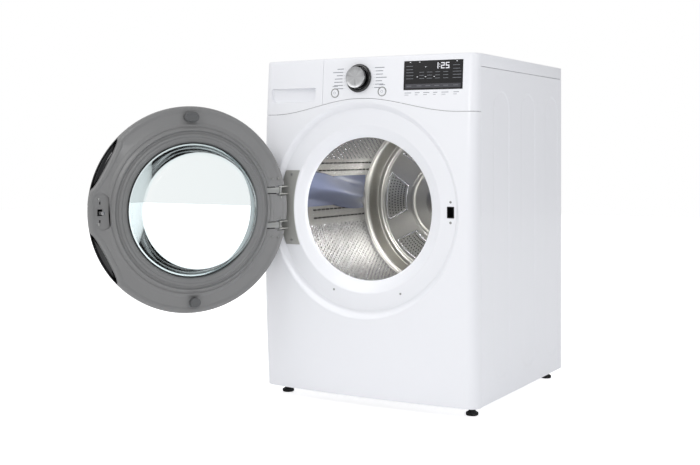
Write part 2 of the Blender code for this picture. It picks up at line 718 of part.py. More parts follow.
def build_drive():
    slack = 0.0007
    drum_r, pulley_r, idler_r = DRUM_R + slack, PULLEY_R + slack, IDLER_R + slack
    inner = belt_loop([(0, AXIS_Z, drum_r, 1), (*IDLER, idler_r + BELT_THICK, -1),
                       (*MOTOR, pulley_r, 1)])
    outer = belt_loop([(0, AXIS_Z, drum_r + BELT_THICK, 1), (*IDLER, idler_r, -1),
                       (*MOTOR, pulley_r + BELT_THICK, 1)])
    facing_front(plate("drum_belt", [outer, inner], BELT_WIDTH, RUBBER), BELT_Y)
    x, z = MOTOR
    turned("motor_stator", [(0.0330, -0.020), (0.0640, -0.020), (0.0640, 0.068), (0.0330, 0.068)],
           (x, 0, z), (0, 1, 0), ZINC_STEEL, COARSE)
    turned("motor_rotor", [
        (0, -0.0580), (PULLEY_R + 0.0035, -0.0580), (PULLEY_R + 0.0035, -0.0545),
        (PULLEY_R, -0.0540), (PULLEY_R, -0.0410), (PULLEY_R + 0.0035, -0.0405),
        (PULLEY_R + 0.0035, -0.0370), (0.0080, -0.0370), (0.0080, -0.0160), (0.0315, -0.0160),
        (0.0315, 0.0640), (0.0080, 0.0640), (0.0080, 0.1680), (0, 0.1680)],
        (x, 0, z), (0, 1, 0), ZINC_STEEL, COARSE, closed=False)
    mount = plate("motor_mount", [[(0.056, 0.0075), (0.268, 0.0075), (0.268, 0.150),
                                   (0.235, 0.190), (0.165, 0.190), (0.056, 0.150)],
                                  circle(MOTOR, 0.0150, COARSE)], 0.003, ZINC_STEEL)
    facing_front(mount, -0.0270)
    x_pin, z_pin = IDLER_PIVOT
    boolean(mount, rod("idler_pivot", 0.0040, (x_pin, -0.0400, z_pin), (x_pin, -0.0265, z_pin),
                       ZINC_STEEL, 16), "UNION")
    turned("blower_wheel", [
        (0.0083, 0.118), (0.0140, 0.118), (0.0140, 0.152), (0.0720, 0.152), (0.0720, 0.112),
        (0.0750, 0.112), (0.0750, 0.156), (0.0083, 0.156)],
        (x, 0, z), (0, 1, 0), GREY_PLASTIC, COARSE)
    turned("blower_housing", [
        (0.0500, 0.1040), (0.0840, 0.1040), (0.0840, 0.1640), (0.0120, 0.1640), (0.0120, 0.1620),
        (0.0820, 0.1620), (0.0820, 0.1060), (0.0500, 0.1060)],
        (x, 0, z), (0, 1, 0), PALE_PLASTIC, COARSE)
    build_idler()


def build_idler():
    pivot, hub = Vector(IDLER_PIVOT), Vector(IDLER)
    reach = hub - pivot
    arm = plate("idler_arm", [stadium((0, 0), tuple(reach), 0.0080),
                              circle((0, 0), 0.00415, 16)], 0.003, ZINC_STEEL)
    facing_front(arm, -0.0345)
    arm.location = (pivot.x, -0.0345, pivot.y)
    stud = rod("idler_stud", 0.0030, (hub.x, -0.0350, hub.y), (hub.x, -0.0560, hub.y), ZINC_STEEL,
               16)
    boolean(arm, stud, "UNION")
    turned("idler_pulley", [(0.00315, -0.0065), (IDLER_R, -0.0065), (IDLER_R, 0.0065),
                            (0.00315, 0.0065)],
           (hub.x, BELT_Y, hub.y), (0, 1, 0), BLACK_PLASTIC, COARSE)


# ---- heat pump, water and air -------------------------------------------------------------------
def build_coil(name, front, rear):
    """Fin stack: upright fins standing on one footing, so that it is one body."""
    pitch = (COIL_X[1] - COIL_X[0] - FIN_THICK) / (FIN_COUNT - 1)
    loop = [(COIL_X[0], COIL_Z[0])]
    loop.append((COIL_X[1], COIL_Z[0]))
    for fin in reversed(range(FIN_COUNT)):
        left = COIL_X[0] + pitch * fin
        loop += [(left + FIN_THICK, COIL_Z[1]), (left, COIL_Z[1])]
        if fin:
            loop += [(left, COIL_FOOTING_Z), (left - pitch + FIN_THICK, COIL_FOOTING_Z)]
    facing_front(plate(name, [loop], rear - front, ALUMINIUM), (front + rear) / 2)


def build_heat_pump():
    turned("compressor", [(0, 0.0064), (0.030, 0.0064), (0.050, 0.020), (0.058, 0.032),
                          (0.058, 0.140), (0.050, 0.158), (0.025, 0.170), (0, 0.172)],
           (0.215, -0.195, 0), (0, 0, 1), DARK_ENAMEL, COARSE, closed=False)
    build_coil("evaporator_coil", -0.215, -0.110)
    build_coil("condenser_coil", -0.095, 0.060)
    turned("drain_pump", [(0, 0.0064), (0.032, 0.0064), (0.032, 0.036), (0.020, 0.044),
                          (0.020, 0.070), (0, 0.070)],
           (-0.02, 0.205, 0), (0, 0, 1), BLACK_PLASTIC, COARSE, closed=False)


def build_filter():
    duct = tray("lint_duct", (-0.1060, -0.3335, 0.118), (0.1060, -0.3062, 0.322), 0.0015,
                PALE_PLASTIC, (0, 0, 1))
    boolean(duct, block("duct_outlet", (-0.08, -0.32, 0.10), (0.08, -0.3110, 0.125),
                        PALE_PLASTIC))
    screen = block("lint_filter", (-0.100, -0.3305, 0.122), (0.100, -0.3092, 0.3150), PALE_PLASTIC)
    boolean(screen, block("screen_window", (-0.085, -0.34, 0.14), (0.085, -0.30, 0.285),
                          PALE_PLASTIC))


# ---- door ---------------------------------------------------------------------------------------
def build_door():
    """The door is drawn shut, about its hinge axis, and its empty swings it open."""
    axis = bpy.data.objects.new("door_axis", None)
    PARTS.objects.link(axis)
    axis.location = HINGE
    axis.rotation_euler = (0, 0, -math.radians(DOOR_OPEN))
    edge = DOOR_R
    frame = turned("door_inner_frame", [
        (edge - 0.0005, -0.4003), (edge, -0.3960), (edge - 0.0015, -0.3890),
        (edge - 0.0060, -0.3855), (0.2450, -0.3840), (0.2380, -0.3785), (0.2320, -0.3780),
        (0.2260, -0.3725), (0.1910, -0.3700), (0.1875, -0.3740), (0.1875, -0.3765),
        (0.2235, -0.3765), (0.2300, -0.3825), (0.2380, -0.3880), (edge - 0.0075, -0.3890),
        (edge - 0.0040, -0.3930), (edge - 0.0035, -0.4003)],
        (DOOR_X, 0, AXIS_Z), (0, 1, 0), GREY_PLASTIC, FINE)
    cover = turned("door_outer_cover", [
        (edge, -0.4008), (edge - 0.001, -0.4070), (edge - 0.010, -0.4170), (0.2680, -0.4260),
        (0.2520, -0.4360), (0.2350, -0.4450), (0.2050, -0.4500), (0.2000, -0.4500),
        (0.2000, -0.4465), (0.2045, -0.4465), (0.2335, -0.4415), (0.2495, -0.4330),
        (0.2650, -0.4230), (edge - 0.0130, -0.4145), (edge - 0.0040, -0.4055),
        (edge - 0.0035, -0.4008)],
        (DOOR_X, 0, AXIS_Z), (0, 1, 0), BLACK_PLASTIC, FINE)
    window = turned("door_window", [(0, -0.4525), (0.120, -0.4518), (0.1996, -0.4498),
                                    (0.1996, -0.4468), (0.120, -0.4486), (0, -0.4492)],
                    (DOOR_X, 0, AXIS_Z), (0, 1, 0), GLASS, FINE, closed=False)
    bowl = turned("door_glass_bowl", [
        (0, -0.3030), (0.1500, -0.3030), (0.1610, -0.3070), (0.1665, -0.3150),
        (0.1850, -0.3700), (0.1850, -0.3770), (0.2200, -0.3770), (0.2200, -0.3805),
        (0.1812, -0.3805), (0.1625, -0.3170), (0.1580, -0.3105), (0.1490, -0.3070), (0, -0.3070)],
        (DOOR_X, 0, AXIS_Z), (0, 1, 0), GLASS, FINE, closed=False)
    upper = plate("door_pad_upper", [stadium((-0.008, 0), (0.008, 0), 0.0135)], 0.012, GREY_PLASTIC)
    facing_front(upper, -0.3775)
    upper.location.x = DOOR_X + 0.005
    upper.location.z = AXIS_Z + 0.260
    lower = plate("door_pad_lower", [circle((0, 0), 0.0150, COARSE)], 0.014, GREY_PLASTIC)
    facing_front(lower, -0.3765)
    lower.location.x = DOOR_X - 0.005
    lower.location.z = AXIS_Z - 0.2605
    for z in (HINGE_OFFSET_Z, -HINGE_OFFSET_Z):
        middle = AXIS_Z + z
        boolean(frame, block("frame_notch", (-0.302, -0.42, middle - 0.0155),
                             (-0.250, -0.37, middle + 0.0155), GREY_PLASTIC))
        boolean(frame, block("arm_slot", (-0.252, -0.42, middle - 0.0105),
                             (-0.214, -0.37, middle + 0.0105), GREY_PLASTIC))
        boolean(cover, block("cover_notch", (-0.302, -0.4225, middle - 0.0155),
                             (-0.249, -0.39, middle + 0.0155), BLACK_PLASTIC))
    for sign in (-1, 1):
        boolean(frame, scallop("finger_scallop", sign))
    boolean(frame, block("hook_slot", (LATCH_X - 0.0085, -0.40, LATCH_Z - 0.007),
                         (LATCH_X + 0.0050, -0.37, LATCH_Z + 0.007), GREY_PLASTIC))
    arms = [build_hinge_arm("hinge_arm_" + word, AXIS_Z + z)
            for word, z in (("upper", HINGE_OFFSET_Z), ("lower", -HINGE_OFFSET_Z))]
    hook = build_hook()
    for piece in [frame, cover, window, bowl, hook, upper, lower] + arms:
        tools = [change.object for change in piece.modifiers if change.type == "BOOLEAN"]
        for hung in [piece] + tools:
            hung.parent = axis
            hung.matrix_parent_inverse = Matrix.Translation(-HINGE)


def scallop(name, sign):
    """Cutter for a finger grip in the free edge, above or below the latch."""
    loop = []
    for step in range(13):
        share = step / 12
        angle = math.radians(13 + 30 * share)
        bite = 0.020 * math.sin(math.pi * share) ** 0.6
        radius = DOOR_R + 0.003 - bite
        loop.append((radius * math.cos(angle), sign * radius * math.sin(angle)))
    loop += [(0.330 * math.cos(math.radians(a)), sign * 0.330 * math.sin(math.radians(a)))
             for a in (45, 35, 25, 11)]
    made = plate(name, [loop], 0.040, GREY_PLASTIC)
    facing_front(made, -0.390)
    made.location.x = DOOR_X
    made.location.z = AXIS_Z
    return made


def build_hinge_arm(name, z):
    """Barrel on the hinge pin with a strap that runs into the door frame."""
    loop = arc((0, 0), 0.0060, 40, 320, 10) + [(0.044, -0.0040), (0.044, 0.0040)]
    made = plate(name, [loop, circle((0, 0), 0.00315, 16)], 0.0160, ZINC_STEEL)
    made.location = (HINGE.x, HINGE.y, z)
    return made


def build_hook():
    """Latch hook on its pivot inside the door's free edge."""
    tip = 0.0475
    loop = [(-0.0030, -0.0040), (0.0030, -0.0040), (0.0030, tip - 0.006), (0.0010, tip),
            (-0.0060, tip - 0.004), (-0.0060, tip - 0.007), (-0.0025, tip - 0.008),
            (-0.0030, 0.0100)]
    made = plate("latch_hook", [loop], 0.0080, STAINLESS)
    made.location = (LATCH_X, -0.3930, LATCH_Z)
    return made


def build_bracket():
    """Hinge bracket: a crescent plate on the recess floor with two pairs of lugs and their pins."""
    outer = arc((0, AXIS_Z), 0.2835, 157.5, 202.5, 10)
    inner = arc((0.060, AXIS_Z), 0.2960, 201.5, 158.5, 10)
    bracket = plate("hinge_bracket", [outer + inner], 0.0024, CAST_ZINC)
    facing_front(bracket, RECESS_Y - 0.0018)
    for z in (HINGE_OFFSET_Z, -HINGE_OFFSET_Z):
        for side in (-1, 1):
            lug = plate("hinge_lug", [arc((0, 0), 0.0060, 180, 360, 8)
                                      + [(0.0060, 0.0345), (-0.0060, 0.0345)]], 0.0034, CAST_ZINC)
            lug.location = (HINGE.x, HINGE.y, AXIS_Z + z + side * 0.0105)
            boolean(bracket, lug, "UNION")
        pin = rod("hinge_pin", 0.0029, (HINGE.x, HINGE.y, AXIS_Z + z - 0.0115),
                  (HINGE.x, HINGE.y, AXIS_Z + z + 0.0115), CAST_ZINC, 16)
        boolean(bracket, pin, "UNION")
    tray("latch_catch", (LATCH_X - 0.0102, -0.3575, LATCH_Z - 0.0152),
         (LATCH_X + 0.0102, -0.3250, LATCH_Z + 0.0152), 0.0014, BLACK_PLASTIC, (0, -1, 0))


def build_feet():
    for front, row in ((-1, "front"), (1, "rear")):
        for side, word in ((-1, "left"), (1, "right")):
            turned("foot_%s_%s" % (row, word), [
                (0, -FOOT_DROP), (FOOT_R - 0.0020, -FOOT_DROP), (FOOT_R, -FOOT_DROP + 0.0020),
                (FOOT_R, -FOOT_DROP + 0.0080), (0.0100, -FOOT_DROP + 0.0120), (0.0100, -0.0060),
                (0.0050, -0.0055), (0.0050, 0.0300), (0, 0.0300)],
                (side * FOOT_X, front * FOOT_Y, 0), (0, 0, 1), RUBBER, 20, closed=False)


build_base()
build_side_panel("left_side_panel", -1)
build_side_panel("right_side_panel", 1)
build_back()
build_top()
build_front_panel()
build_control_panel()
build_drawer()
build_controls()
build_drum()
build_supports()
build_drive()
build_heat_pump()
build_filter()
build_bracket()
build_door()
build_feet()
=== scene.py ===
import math

import bmesh
import bpy
from mathutils import Matrix, Vector


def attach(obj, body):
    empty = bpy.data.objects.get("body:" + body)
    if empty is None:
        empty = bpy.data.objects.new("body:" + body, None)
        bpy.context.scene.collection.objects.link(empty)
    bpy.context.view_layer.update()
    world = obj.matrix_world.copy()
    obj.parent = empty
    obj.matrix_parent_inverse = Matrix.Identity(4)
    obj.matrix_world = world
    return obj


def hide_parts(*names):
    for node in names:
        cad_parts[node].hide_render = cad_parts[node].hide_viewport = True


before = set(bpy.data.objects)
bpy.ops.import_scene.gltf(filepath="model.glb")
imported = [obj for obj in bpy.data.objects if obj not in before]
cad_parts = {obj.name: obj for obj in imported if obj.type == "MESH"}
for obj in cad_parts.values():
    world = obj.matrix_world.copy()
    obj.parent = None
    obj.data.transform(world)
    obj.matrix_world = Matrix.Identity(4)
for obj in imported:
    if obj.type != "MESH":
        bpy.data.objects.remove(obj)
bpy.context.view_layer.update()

# ---- measures, in metres, shared with the CAD ---------------------------------------------------
HALF = 0.343                           # half the cabinet's width
HEIGHT = 0.962                         # cabinet without its feet
FRONT_SEAM_Y = -0.320                  # where the front meets the sides
REAR_LIP_Y = FRONT_SEAM_Y - 0.0003     # back edge of the front's skins
MOULD = 0.0025                         # wall of the moulded front parts
CORNER_R = 0.030                       # front's upright corners
EDGE_R = 0.005                         # front's top edge
CROWN_BASE = 0.028                     # depth of the front at its corners
CROWN_ACROSS = 0.020                   # how far its face bows across
CROWN_UP = 0.0195                      # how far its face bows up and down
TOP_SEAM_Z = 0.926                     # top panel's lower edge
ARCH_LOW_Z = 0.8035                    # seam under the control panel, at the sides
ARCH_RISE = 0.0415                     # its rise at the middle
ARCH_HALF = 0.300                      # half its span
SEAM = 0.0010                          # gap between the front's parts
DRAWER_SEAM_X = -0.128                 # seam beside the water drawer
AXIS_Z = 0.532                         # height of the drum's axis
OPENING_R = 0.2035                     # opening of the drum
STEP_R = 0.237                         # step round the opening
RECESS_R = 0.2865                      # floor of the door's recess
RECESS_Y = -0.357                      # depth of that floor
RECESS_SLOPE = 0.80                    # lean of the recess wall
DRUM_IN_R = 0.2855                     # inside of the drum
LIFTER_ANGLES = (172.0, 52.0, 292.0)   # degrees round the drum
HINGE = Vector((-0.262, -0.392, AXIS_Z))
DOOR_OPEN = 123.0                      # degrees the door stands open
DOOR_R = 0.291                         # door's radius
DOOR_X = 0.007                         # shut door's centre, towards its free edge
HINGE_OFFSET_Z = 0.0505                # each hinge arm above or below the axis
LATCH_X = 0.269
LATCH_Z = 0.530
KNOB = (-0.0075, 0.902)
KNOB_R = 0.031                         # knob's radius
BEZEL_R = 0.0403                       # knob bezel's radius
BUTTONS = {"power_button": (-0.0853, 0.862), "start_button": (0.0676, 0.8625)}
BUTTON_R = 0.0108                      # buttons' radius
DISPLAY_X = (0.133, 0.306)
DISPLAY_Z = (0.864, 0.9445)
GRIP_X = (-0.314, -0.153)
GRIP_Z = (0.838, 0.880)
GRIP_DEPTH = 0.016                     # pocket of the drawer's grip
FOOT_X = 0.302
FOOT_Y = 0.288

ROUND = 144                            # steps round the large turned pieces
SMALL = 32                             # steps round the small ones


def crown_y(x, z):
    """Depth of the front's crowned face."""
    rise = z / HEIGHT
    across = CROWN_ACROSS * (1 - (x / HALF) ** 2)
    return FRONT_SEAM_Y - CROWN_BASE - across - CROWN_UP * 4 * rise * (1 - rise)


def crown_normal(x, z):
    lean = CROWN_UP * 4 * (1 - 2 * z / HEIGHT) / HEIGHT
    turn = CROWN_ACROSS * 2 * x / HALF ** 2
    return Vector((turn, -1.0, -lean)).normalized()


def on_crown(x, z, proud=0.0):
    return Vector((x, crown_y(x, z), z)) + crown_normal(x, z) * proud


def seam_arch(x):
    """Height of the seam under the control panel."""
    reach = min(abs(x), ARCH_HALF)
    return ARCH_LOW_Z + ARCH_RISE * 0.5 * (1 + math.cos(math.pi * reach / ARCH_HALF))


CORNER_SLOPE = math.atan(CROWN_ACROSS * 2 * (HALF - CORNER_R) / HALF ** 2)
CORNER_X = HALF - CORNER_R + CORNER_R * math.sin(CORNER_SLOPE)


def outline_point(position, z, inset=0.0):
    """Point on the front's plan outline; position is 0..1 over the face, 1..2 round to the side."""
    side = -1 if position < 0 else 1
    reach = abs(position)
    if reach <= 1:
        x = position * CORNER_X
        return Vector((x, crown_y(x, z) + inset, z))
    centre_y = crown_y(CORNER_X, z) + CORNER_R * math.cos(CORNER_SLOPE)
    if reach <= 1.8:
        turn = CORNER_SLOPE + (math.pi / 2 - CORNER_SLOPE) * (reach - 1) / 0.8
        radius = CORNER_R - inset
        return Vector((side * (HALF - CORNER_R + radius * math.sin(turn)),
                       centre_y - radius * math.cos(turn), z))
    blend = (reach - 1.8) / 0.2
    return Vector((side * (HALF - inset), centre_y + (REAR_LIP_Y - centre_y) * blend, z))


CORNER_STOPS = [1.0, 1.1, 1.2, 1.3, 1.4, 1.5, 1.6, 1.7, 1.8, 1.9, 2.0]


# ---- materials ----------------------------------------------------------------------------------
def colour(code):
    """Scene-linear RGBA from an sRGB hex string."""
    values = [int(code[index:index + 2], 16) / 255 for index in (0, 2, 4)]
    return (*[value / 12.92 if value <= 0.04045 else ((value + 0.055) / 1.055) ** 2.4
              for value in values], 1.0)


def node(tree, kind, inputs=None, **settings):
    """Adds a shader or geometry node with its settings; inputs are values or sockets to link."""
    made = tree.nodes.new(kind)
    for key, value in settings.items():
        setattr(made, key, value)
    for key, value in (inputs or {}).items():
        if isinstance(value, bpy.types.NodeSocket):
            tree.links.new(value, made.inputs[key])
        else:
            made.inputs[key].default_value = value
    return made


def finish(name, code, roughness, metallic=0.0, grain_mm=2.0, stretch=(1, 1, 1), bump_mm=0.01,
           vary=0.05, shade=0.0, coat=0.0, source="Object", detail=3.0):
    """Material with a fine grain of real size that varies its roughness, shade and surface."""
    made = bpy.data.materials.new(name)
    made.use_nodes = True
    tree = made.node_tree
    shader = tree.nodes["Principled BSDF"]
    shader.inputs["Metallic"].default_value = metallic
    shader.inputs["Coat Weight"].default_value = coat
    where = node(tree, "ShaderNodeTexCoord")
    placed = node(tree, "ShaderNodeMapping", {"Vector": where.outputs[source], "Scale": stretch})
    grain = node(tree, "ShaderNodeTexNoise", {"Vector": placed.outputs["Vector"],
                                              "Scale": 1000.0 / grain_mm, "Detail": detail})
    gloss = node(tree, "ShaderNodeMapRange", {"Value": grain.outputs["Fac"],
                                              "To Min": max(roughness - vary, 0.0),
                                              "To Max": roughness + vary})
    tree.links.new(gloss.outputs["Result"], shader.inputs["Roughness"])
    if shade:
        pale = colour(code)
        dark = [channel * (1 - shade) for channel in pale[:3]] + [1.0]
        tint = node(tree, "ShaderNodeMix", {"Factor": grain.outputs["Fac"]}, data_type="RGBA")
        tint.inputs[6].default_value = dark
        tint.inputs[7].default_value = pale
        tree.links.new(tint.outputs[2], shader.inputs["Base Color"])
    else:
        shader.inputs["Base Color"].default_value = colour(code)
    relief = node(tree, "ShaderNodeBump", {"Height": grain.outputs["Fac"], "Strength": 0.6,
                                           "Distance": bump_mm / 1000})
    tree.links.new(relief.outputs["Normal"], shader.inputs["Normal"])
    return made


def glass(name, face, edge, sheen):
    """Thin clear glass: see-through face on, tinted and more mirror-like at a grazing angle."""
    made = bpy.data.materials.new(name)
    made.use_nodes = True
    tree = made.node_tree
    tree.nodes.clear()
    facing = node(tree, "ShaderNodeLayerWeight", {"Blend": 0.35})
    tint = node(tree, "ShaderNodeMix", {"Factor": facing.outputs["Facing"]}, data_type="RGBA")
    tint.inputs[6].default_value = colour(face)
    tint.inputs[7].default_value = colour(edge)
    clear = node(tree, "ShaderNodeBsdfTransparent", {"Color": tint.outputs[2]})
    where = node(tree, "ShaderNodeTexCoord")
    ripple = node(tree, "ShaderNodeTexNoise", {"Vector": where.outputs["Object"], "Scale": 60.0})
    gloss = node(tree, "ShaderNodeMapRange", {"Value": ripple.outputs["Fac"], "To Min": 0.0,
                                              "To Max": 0.04})
    mirror = node(tree, "ShaderNodeBsdfGlossy", {"Roughness": gloss.outputs["Result"]})
    bounce = node(tree, "ShaderNodeFresnel", {"IOR": sheen})
    both = node(tree, "ShaderNodeMixShader", {0: bounce.outputs["Fac"], 1: clear.outputs["BSDF"],
                                              2: mirror.outputs["BSDF"]})
    out = node(tree, "ShaderNodeOutputMaterial")
    tree.links.new(both.outputs["Shader"], out.inputs["Surface"])
    return made


# painted steel sheet of the cabinet, with a faint orange peel
ENAMEL = finish("white_enamel", "F1F2F6", 0.30, grain_mm=3.0, bump_mm=0.006, coat=0.15)
# moulded white plastic of the control panel, drawer front and keys
PLASTIC = finish("white_plastic", "F2F3F7", 0.33, grain_mm=1.2, bump_mm=0.004, coat=0.05)
# mid-grey plastic of the door's inner frame
DOOR_GREY = finish("grey_plastic", "808080", 0.36, grain_mm=0.8, bump_mm=0.006, coat=0.1)
# darker grey of the door's soft stops and small plugs
PAD_GREY = finish("pad_grey", "5E5F60", 0.6, grain_mm=0.8, bump_mm=0.02)
# pale grey plastic of the collar, the lint screen and the tank
PALE = finish("pale_plastic", "C4C6C6", 0.42, grain_mm=1.0, bump_mm=0.006)
# matt black plastic of sockets and catches
BLACK = finish("black_plastic", "161616", 0.38, grain_mm=1.0, bump_mm=0.01)
# polished black of the door ring and the knob bezel
GLOSS_BLACK = finish("gloss_black", "060607", 0.07, grain_mm=8.0, bump_mm=0.0, vary=0.02, coat=0.6)
# black rubber of the feet and the drum belt
RUBBER = finish("black_rubber", "1B1B1C", 0.75, grain_mm=0.7, bump_mm=0.04)
# stainless sheet of the drum, drawn along its axis
STAINLESS = finish("stainless_sheet", "C2C2C4", 0.24, 1.0, grain_mm=6.0, stretch=(1, 0.08, 1),
                   bump_mm=0.002, vary=0.05, shade=0.12)
# the drum's back, slightly duller
BACK_STEEL = finish("back_sheet", "B4B2AB", 0.30, 1.0, grain_mm=5.0, bump_mm=0.002, vary=0.04,
                    shade=0.1)
# zinc-plated steel of the bulkheads, screws and arms
ZINC = finish("zinc_steel", "A9AAA8", 0.36, 1.0, grain_mm=4.0, bump_mm=0.01, vary=0.1, shade=0.2)
# cast zinc of the hinge bracket
CAST = finish("hinge_zinc", "B3B3AF", 0.42, 0.35, grain_mm=1.2, bump_mm=0.02, vary=0.08,
              shade=0.1)
# aluminium of the coils
ALUMINIUM = finish("aluminium", "CDCFD2", 0.32, 1.0, grain_mm=3.0, stretch=(1, 1, 0.1))
# blue-grey plastic of the drum lifters
LIFTER = finish("lifter_plastic", "6C7288", 0.24, grain_mm=3.0, bump_mm=0.004, coat=0.35)
# fibreglass of the control board
BOARD = finish("circuit_board", "1E5A33", 0.5, grain_mm=0.8, bump_mm=0.01, shade=0.2)
# black enamel of the compressor and the motor
BLACK_ENAMEL = finish("black_enamel", "1A1B1D", 0.35, grain_mm=2.5, bump_mm=0.01)
# grey felt of the drum seals
FELT = finish("grey_felt", "6E6C68", 0.95, grain_mm=0.6, bump_mm=0.2, shade=0.3)
# shade inside the holes of the drum
HOLE_DARK = finish("hole_shade", "0B0B0C", 0.7, grain_mm=1.0, bump_mm=0.0)
# smoked cover of the display
SMOKED = finish("smoked_plastic", "121214", 0.22, grain_mm=12.0, bump_mm=0.0, vary=0.02)
# the display's lower strip, a little lighter
SMOKED_PALE = finish("smoked_strip", "4A4A4F", 0.25, grain_mm=12.0, bump_mm=0.0, vary=0.02)
# white printed marks of the display
PRINT_WHITE = finish("white_print", "F4F5FA", 0.5, grain_mm=0.5, bump_mm=0.0)
# dim marks of the display
PRINT_DIM = finish("dim_print", "77797F", 0.5, grain_mm=0.5, bump_mm=0.0)
# grey printed marks of the panel
PRINT_GREY = finish("grey_print", "8E9098", 0.5, grain_mm=0.5, bump_mm=0.0)
# knob face, brushed in rays from its centre, with painted highlight: its tone swings between dark
# and light in broad lobes round the disc, standing for the cone-shaped highlight of brushed metal;
# its grain follows the disc's own UV map
BRUSHED_AND_PAINTED_HIGHLIGHT = finish("brushed_disc_and_painted_highlight", "D8D9DB", 0.30, 1.0, grain_mm=1000.0, stretch=(14.0, 1.0, 1.0),
                 bump_mm=0.0, vary=0.10, shade=0.6, source="UV", detail=9.0)
# clear moulded glass of the door's bowl, with a faint blue edge
CLEAR = glass("door_glass", "FDFEFE", "D3E3E6", 1.18)
# clear flat glass of the door's outer window
WINDOW = glass("window_glass", "FCFDFD", "E2EAEB", 1.12)
# white liner between the two glasses of the door
LINER = finish("white_liner", "F2F6F7", 0.5, grain_mm=1.5, bump_mm=0.004)


# ---- mesh helpers -------------------------------------------------------------------------------
UPRIGHT = Matrix.Identity(4)
# local z becomes the drum's axis (world +y), local x stays and local y points up
ALONG_Y = Matrix(((1, 0, 0, 0), (0, 0, 1, 0), (0, 1, 0, AXIS_Z), (0, 0, 0, 1)))
DOOR_AXLE = Matrix.Translation((DOOR_X, 0, 0)) @ ALONG_Y
DOOR_SWING = (Matrix.Translation(HINGE) @ Matrix.Rotation(-math.radians(DOOR_OPEN), 4, "Z")
              @ Matrix.Translation(-HINGE))


def frame_at(place, axis):
    """Matrix that puts a local z axis along axis, standing at place."""
    return Matrix.Translation(place) @ Vector(axis).to_track_quat("Z", "Y").to_matrix().to_4x4()


def show(name, mesh, paints, body, replaces=(), angle=32.0):
    """Makes a mesh a piece of the object: materials, shading and body."""
    mesh.name = name
    mesh.materials.clear()
    for paint in paints:
        mesh.materials.append(paint)
    mesh.shade_smooth()
    mesh.set_sharp_from_angle(angle=math.radians(angle))
    made = bpy.data.objects.new(name, mesh)
    bpy.context.scene.collection.objects.link(made)
    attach(made, body)
    if replaces:
        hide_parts(*replaces)
    return made


def to_mesh(shape, place=None, recalc=True):
    if place is not None:
        shape.transform(place)
    if recalc:
        bmesh.ops.recalc_face_normals(shape, faces=shape.faces)
    mesh = bpy.data.meshes.new("shape")
    shape.to_mesh(mesh)
    shape.free()
    return mesh


def piece(name, shape, paints, body, replaces=(), place=None, angle=32.0):
    return show(name, to_mesh(shape, place), paints, body, replaces, angle)


def changed(mesh, *steps):
    """The mesh after modifiers: each step is (type, settings)."""
    held = bpy.data.objects.new("held", mesh)
    bpy.context.scene.collection.objects.link(held)
    for kind, settings in steps:
        change = held.modifiers.new(kind.lower(), kind)
        for key, value in settings.items():
            setattr(change, key, value)
    graph = bpy.context.evaluated_depsgraph_get()
    made = bpy.data.meshes.new_from_object(held.evaluated_get(graph), depsgraph=graph)
    bpy.data.objects.remove(held, do_unlink=True)
    return made


def cut(mesh, *tools):
    """The mesh with closed shapes taken out of it."""
    stand_ins = []
    for tool in tools:
        held = bpy.data.objects.new("tool", to_mesh(tool))
        bpy.context.scene.collection.objects.link(held)
        stand_ins.append(held)
    steps = [("BOOLEAN", {"object": held, "operation": "DIFFERENCE", "solver": "EXACT"})
             for held in stand_ins]
    made = changed(mesh, *steps)
    for held in stand_ins:
        bpy.data.objects.remove(held, do_unlink=True)
    return made


def rounded(profile, radius, closed=True):
    """The profile with each corner replaced by a short curve."""
    made = []
    count = len(profile)
    for index, point in enumerate(profile):
        here = Vector(point[:2])
        if not closed and index in (0, count - 1):
            made.append(tuple(here))
            continue
        before = Vector(profile[index - 1][:2])
        after = Vector(profile[(index + 1) % count][:2])
        reach = min(radius, (here - before).length * 0.4, (here - after).length * 0.4)
        first = here + (before - here).normalized() * reach
        last = here + (after - here).normalized() * reach
        for share in (0.0, 0.33, 0.67, 1.0):
            made.append(tuple(first * (1 - share) ** 2 + here * 2 * share * (1 - share)
                              + last * share ** 2))
    return made


def turn(shape, profile, place, steps=SMALL, closed=True, paint=0, warp=None):
    """Turns a (radius, height) profile about the local z axis; ends on the axis close it."""
    rings = []
    tips = {}
    rows = list(profile)
    for index, (radius, height) in enumerate(rows):
        if radius < 1e-7:
            tips[index] = shape.verts.new(place @ Vector((0, 0, height)))
            rings.append(None)
            continue
        ring = []
        for step in range(steps):
            angle = 2 * math.pi * step / steps
            reach, level = warp(radius, height, angle) if warp else (radius, height)
            ring.append(shape.verts.new(place @ Vector((reach * math.cos(angle),
                                                        reach * math.sin(angle), level))))
        rings.append(ring)
    pairs = list(zip(range(len(rows)), range(1, len(rows))))
    if closed:
        pairs.append((len(rows) - 1, 0))
    uv = shape.loops.layers.uv.verify()
    for low, high in pairs:
        for step in range(steps):
            after = (step + 1) % steps
            if rings[low] and rings[high]:
                corners = [(low, step), (low, step + 1), (high, step + 1), (high, step)]
                face = shape.faces.new([rings[low][step], rings[low][after], rings[high][after],
                                        rings[high][step]])
            elif rings[low]:
                corners = [(low, step), (low, step + 1), (high, step + 0.5)]
                face = shape.faces.new([rings[low][step], rings[low][after], tips[high]])
            elif rings[high]:
                corners = [(low, step + 0.5), (high, step + 1), (high, step)]
                face = shape.faces.new([tips[low], rings[high][after], rings[high][step]])
            else:
                continue
            face.material_index = paint
            for loop, (row, turned) in zip(face.loops, corners):
                loop[uv].uv = (turned / steps, rows[row][0])
    return shape


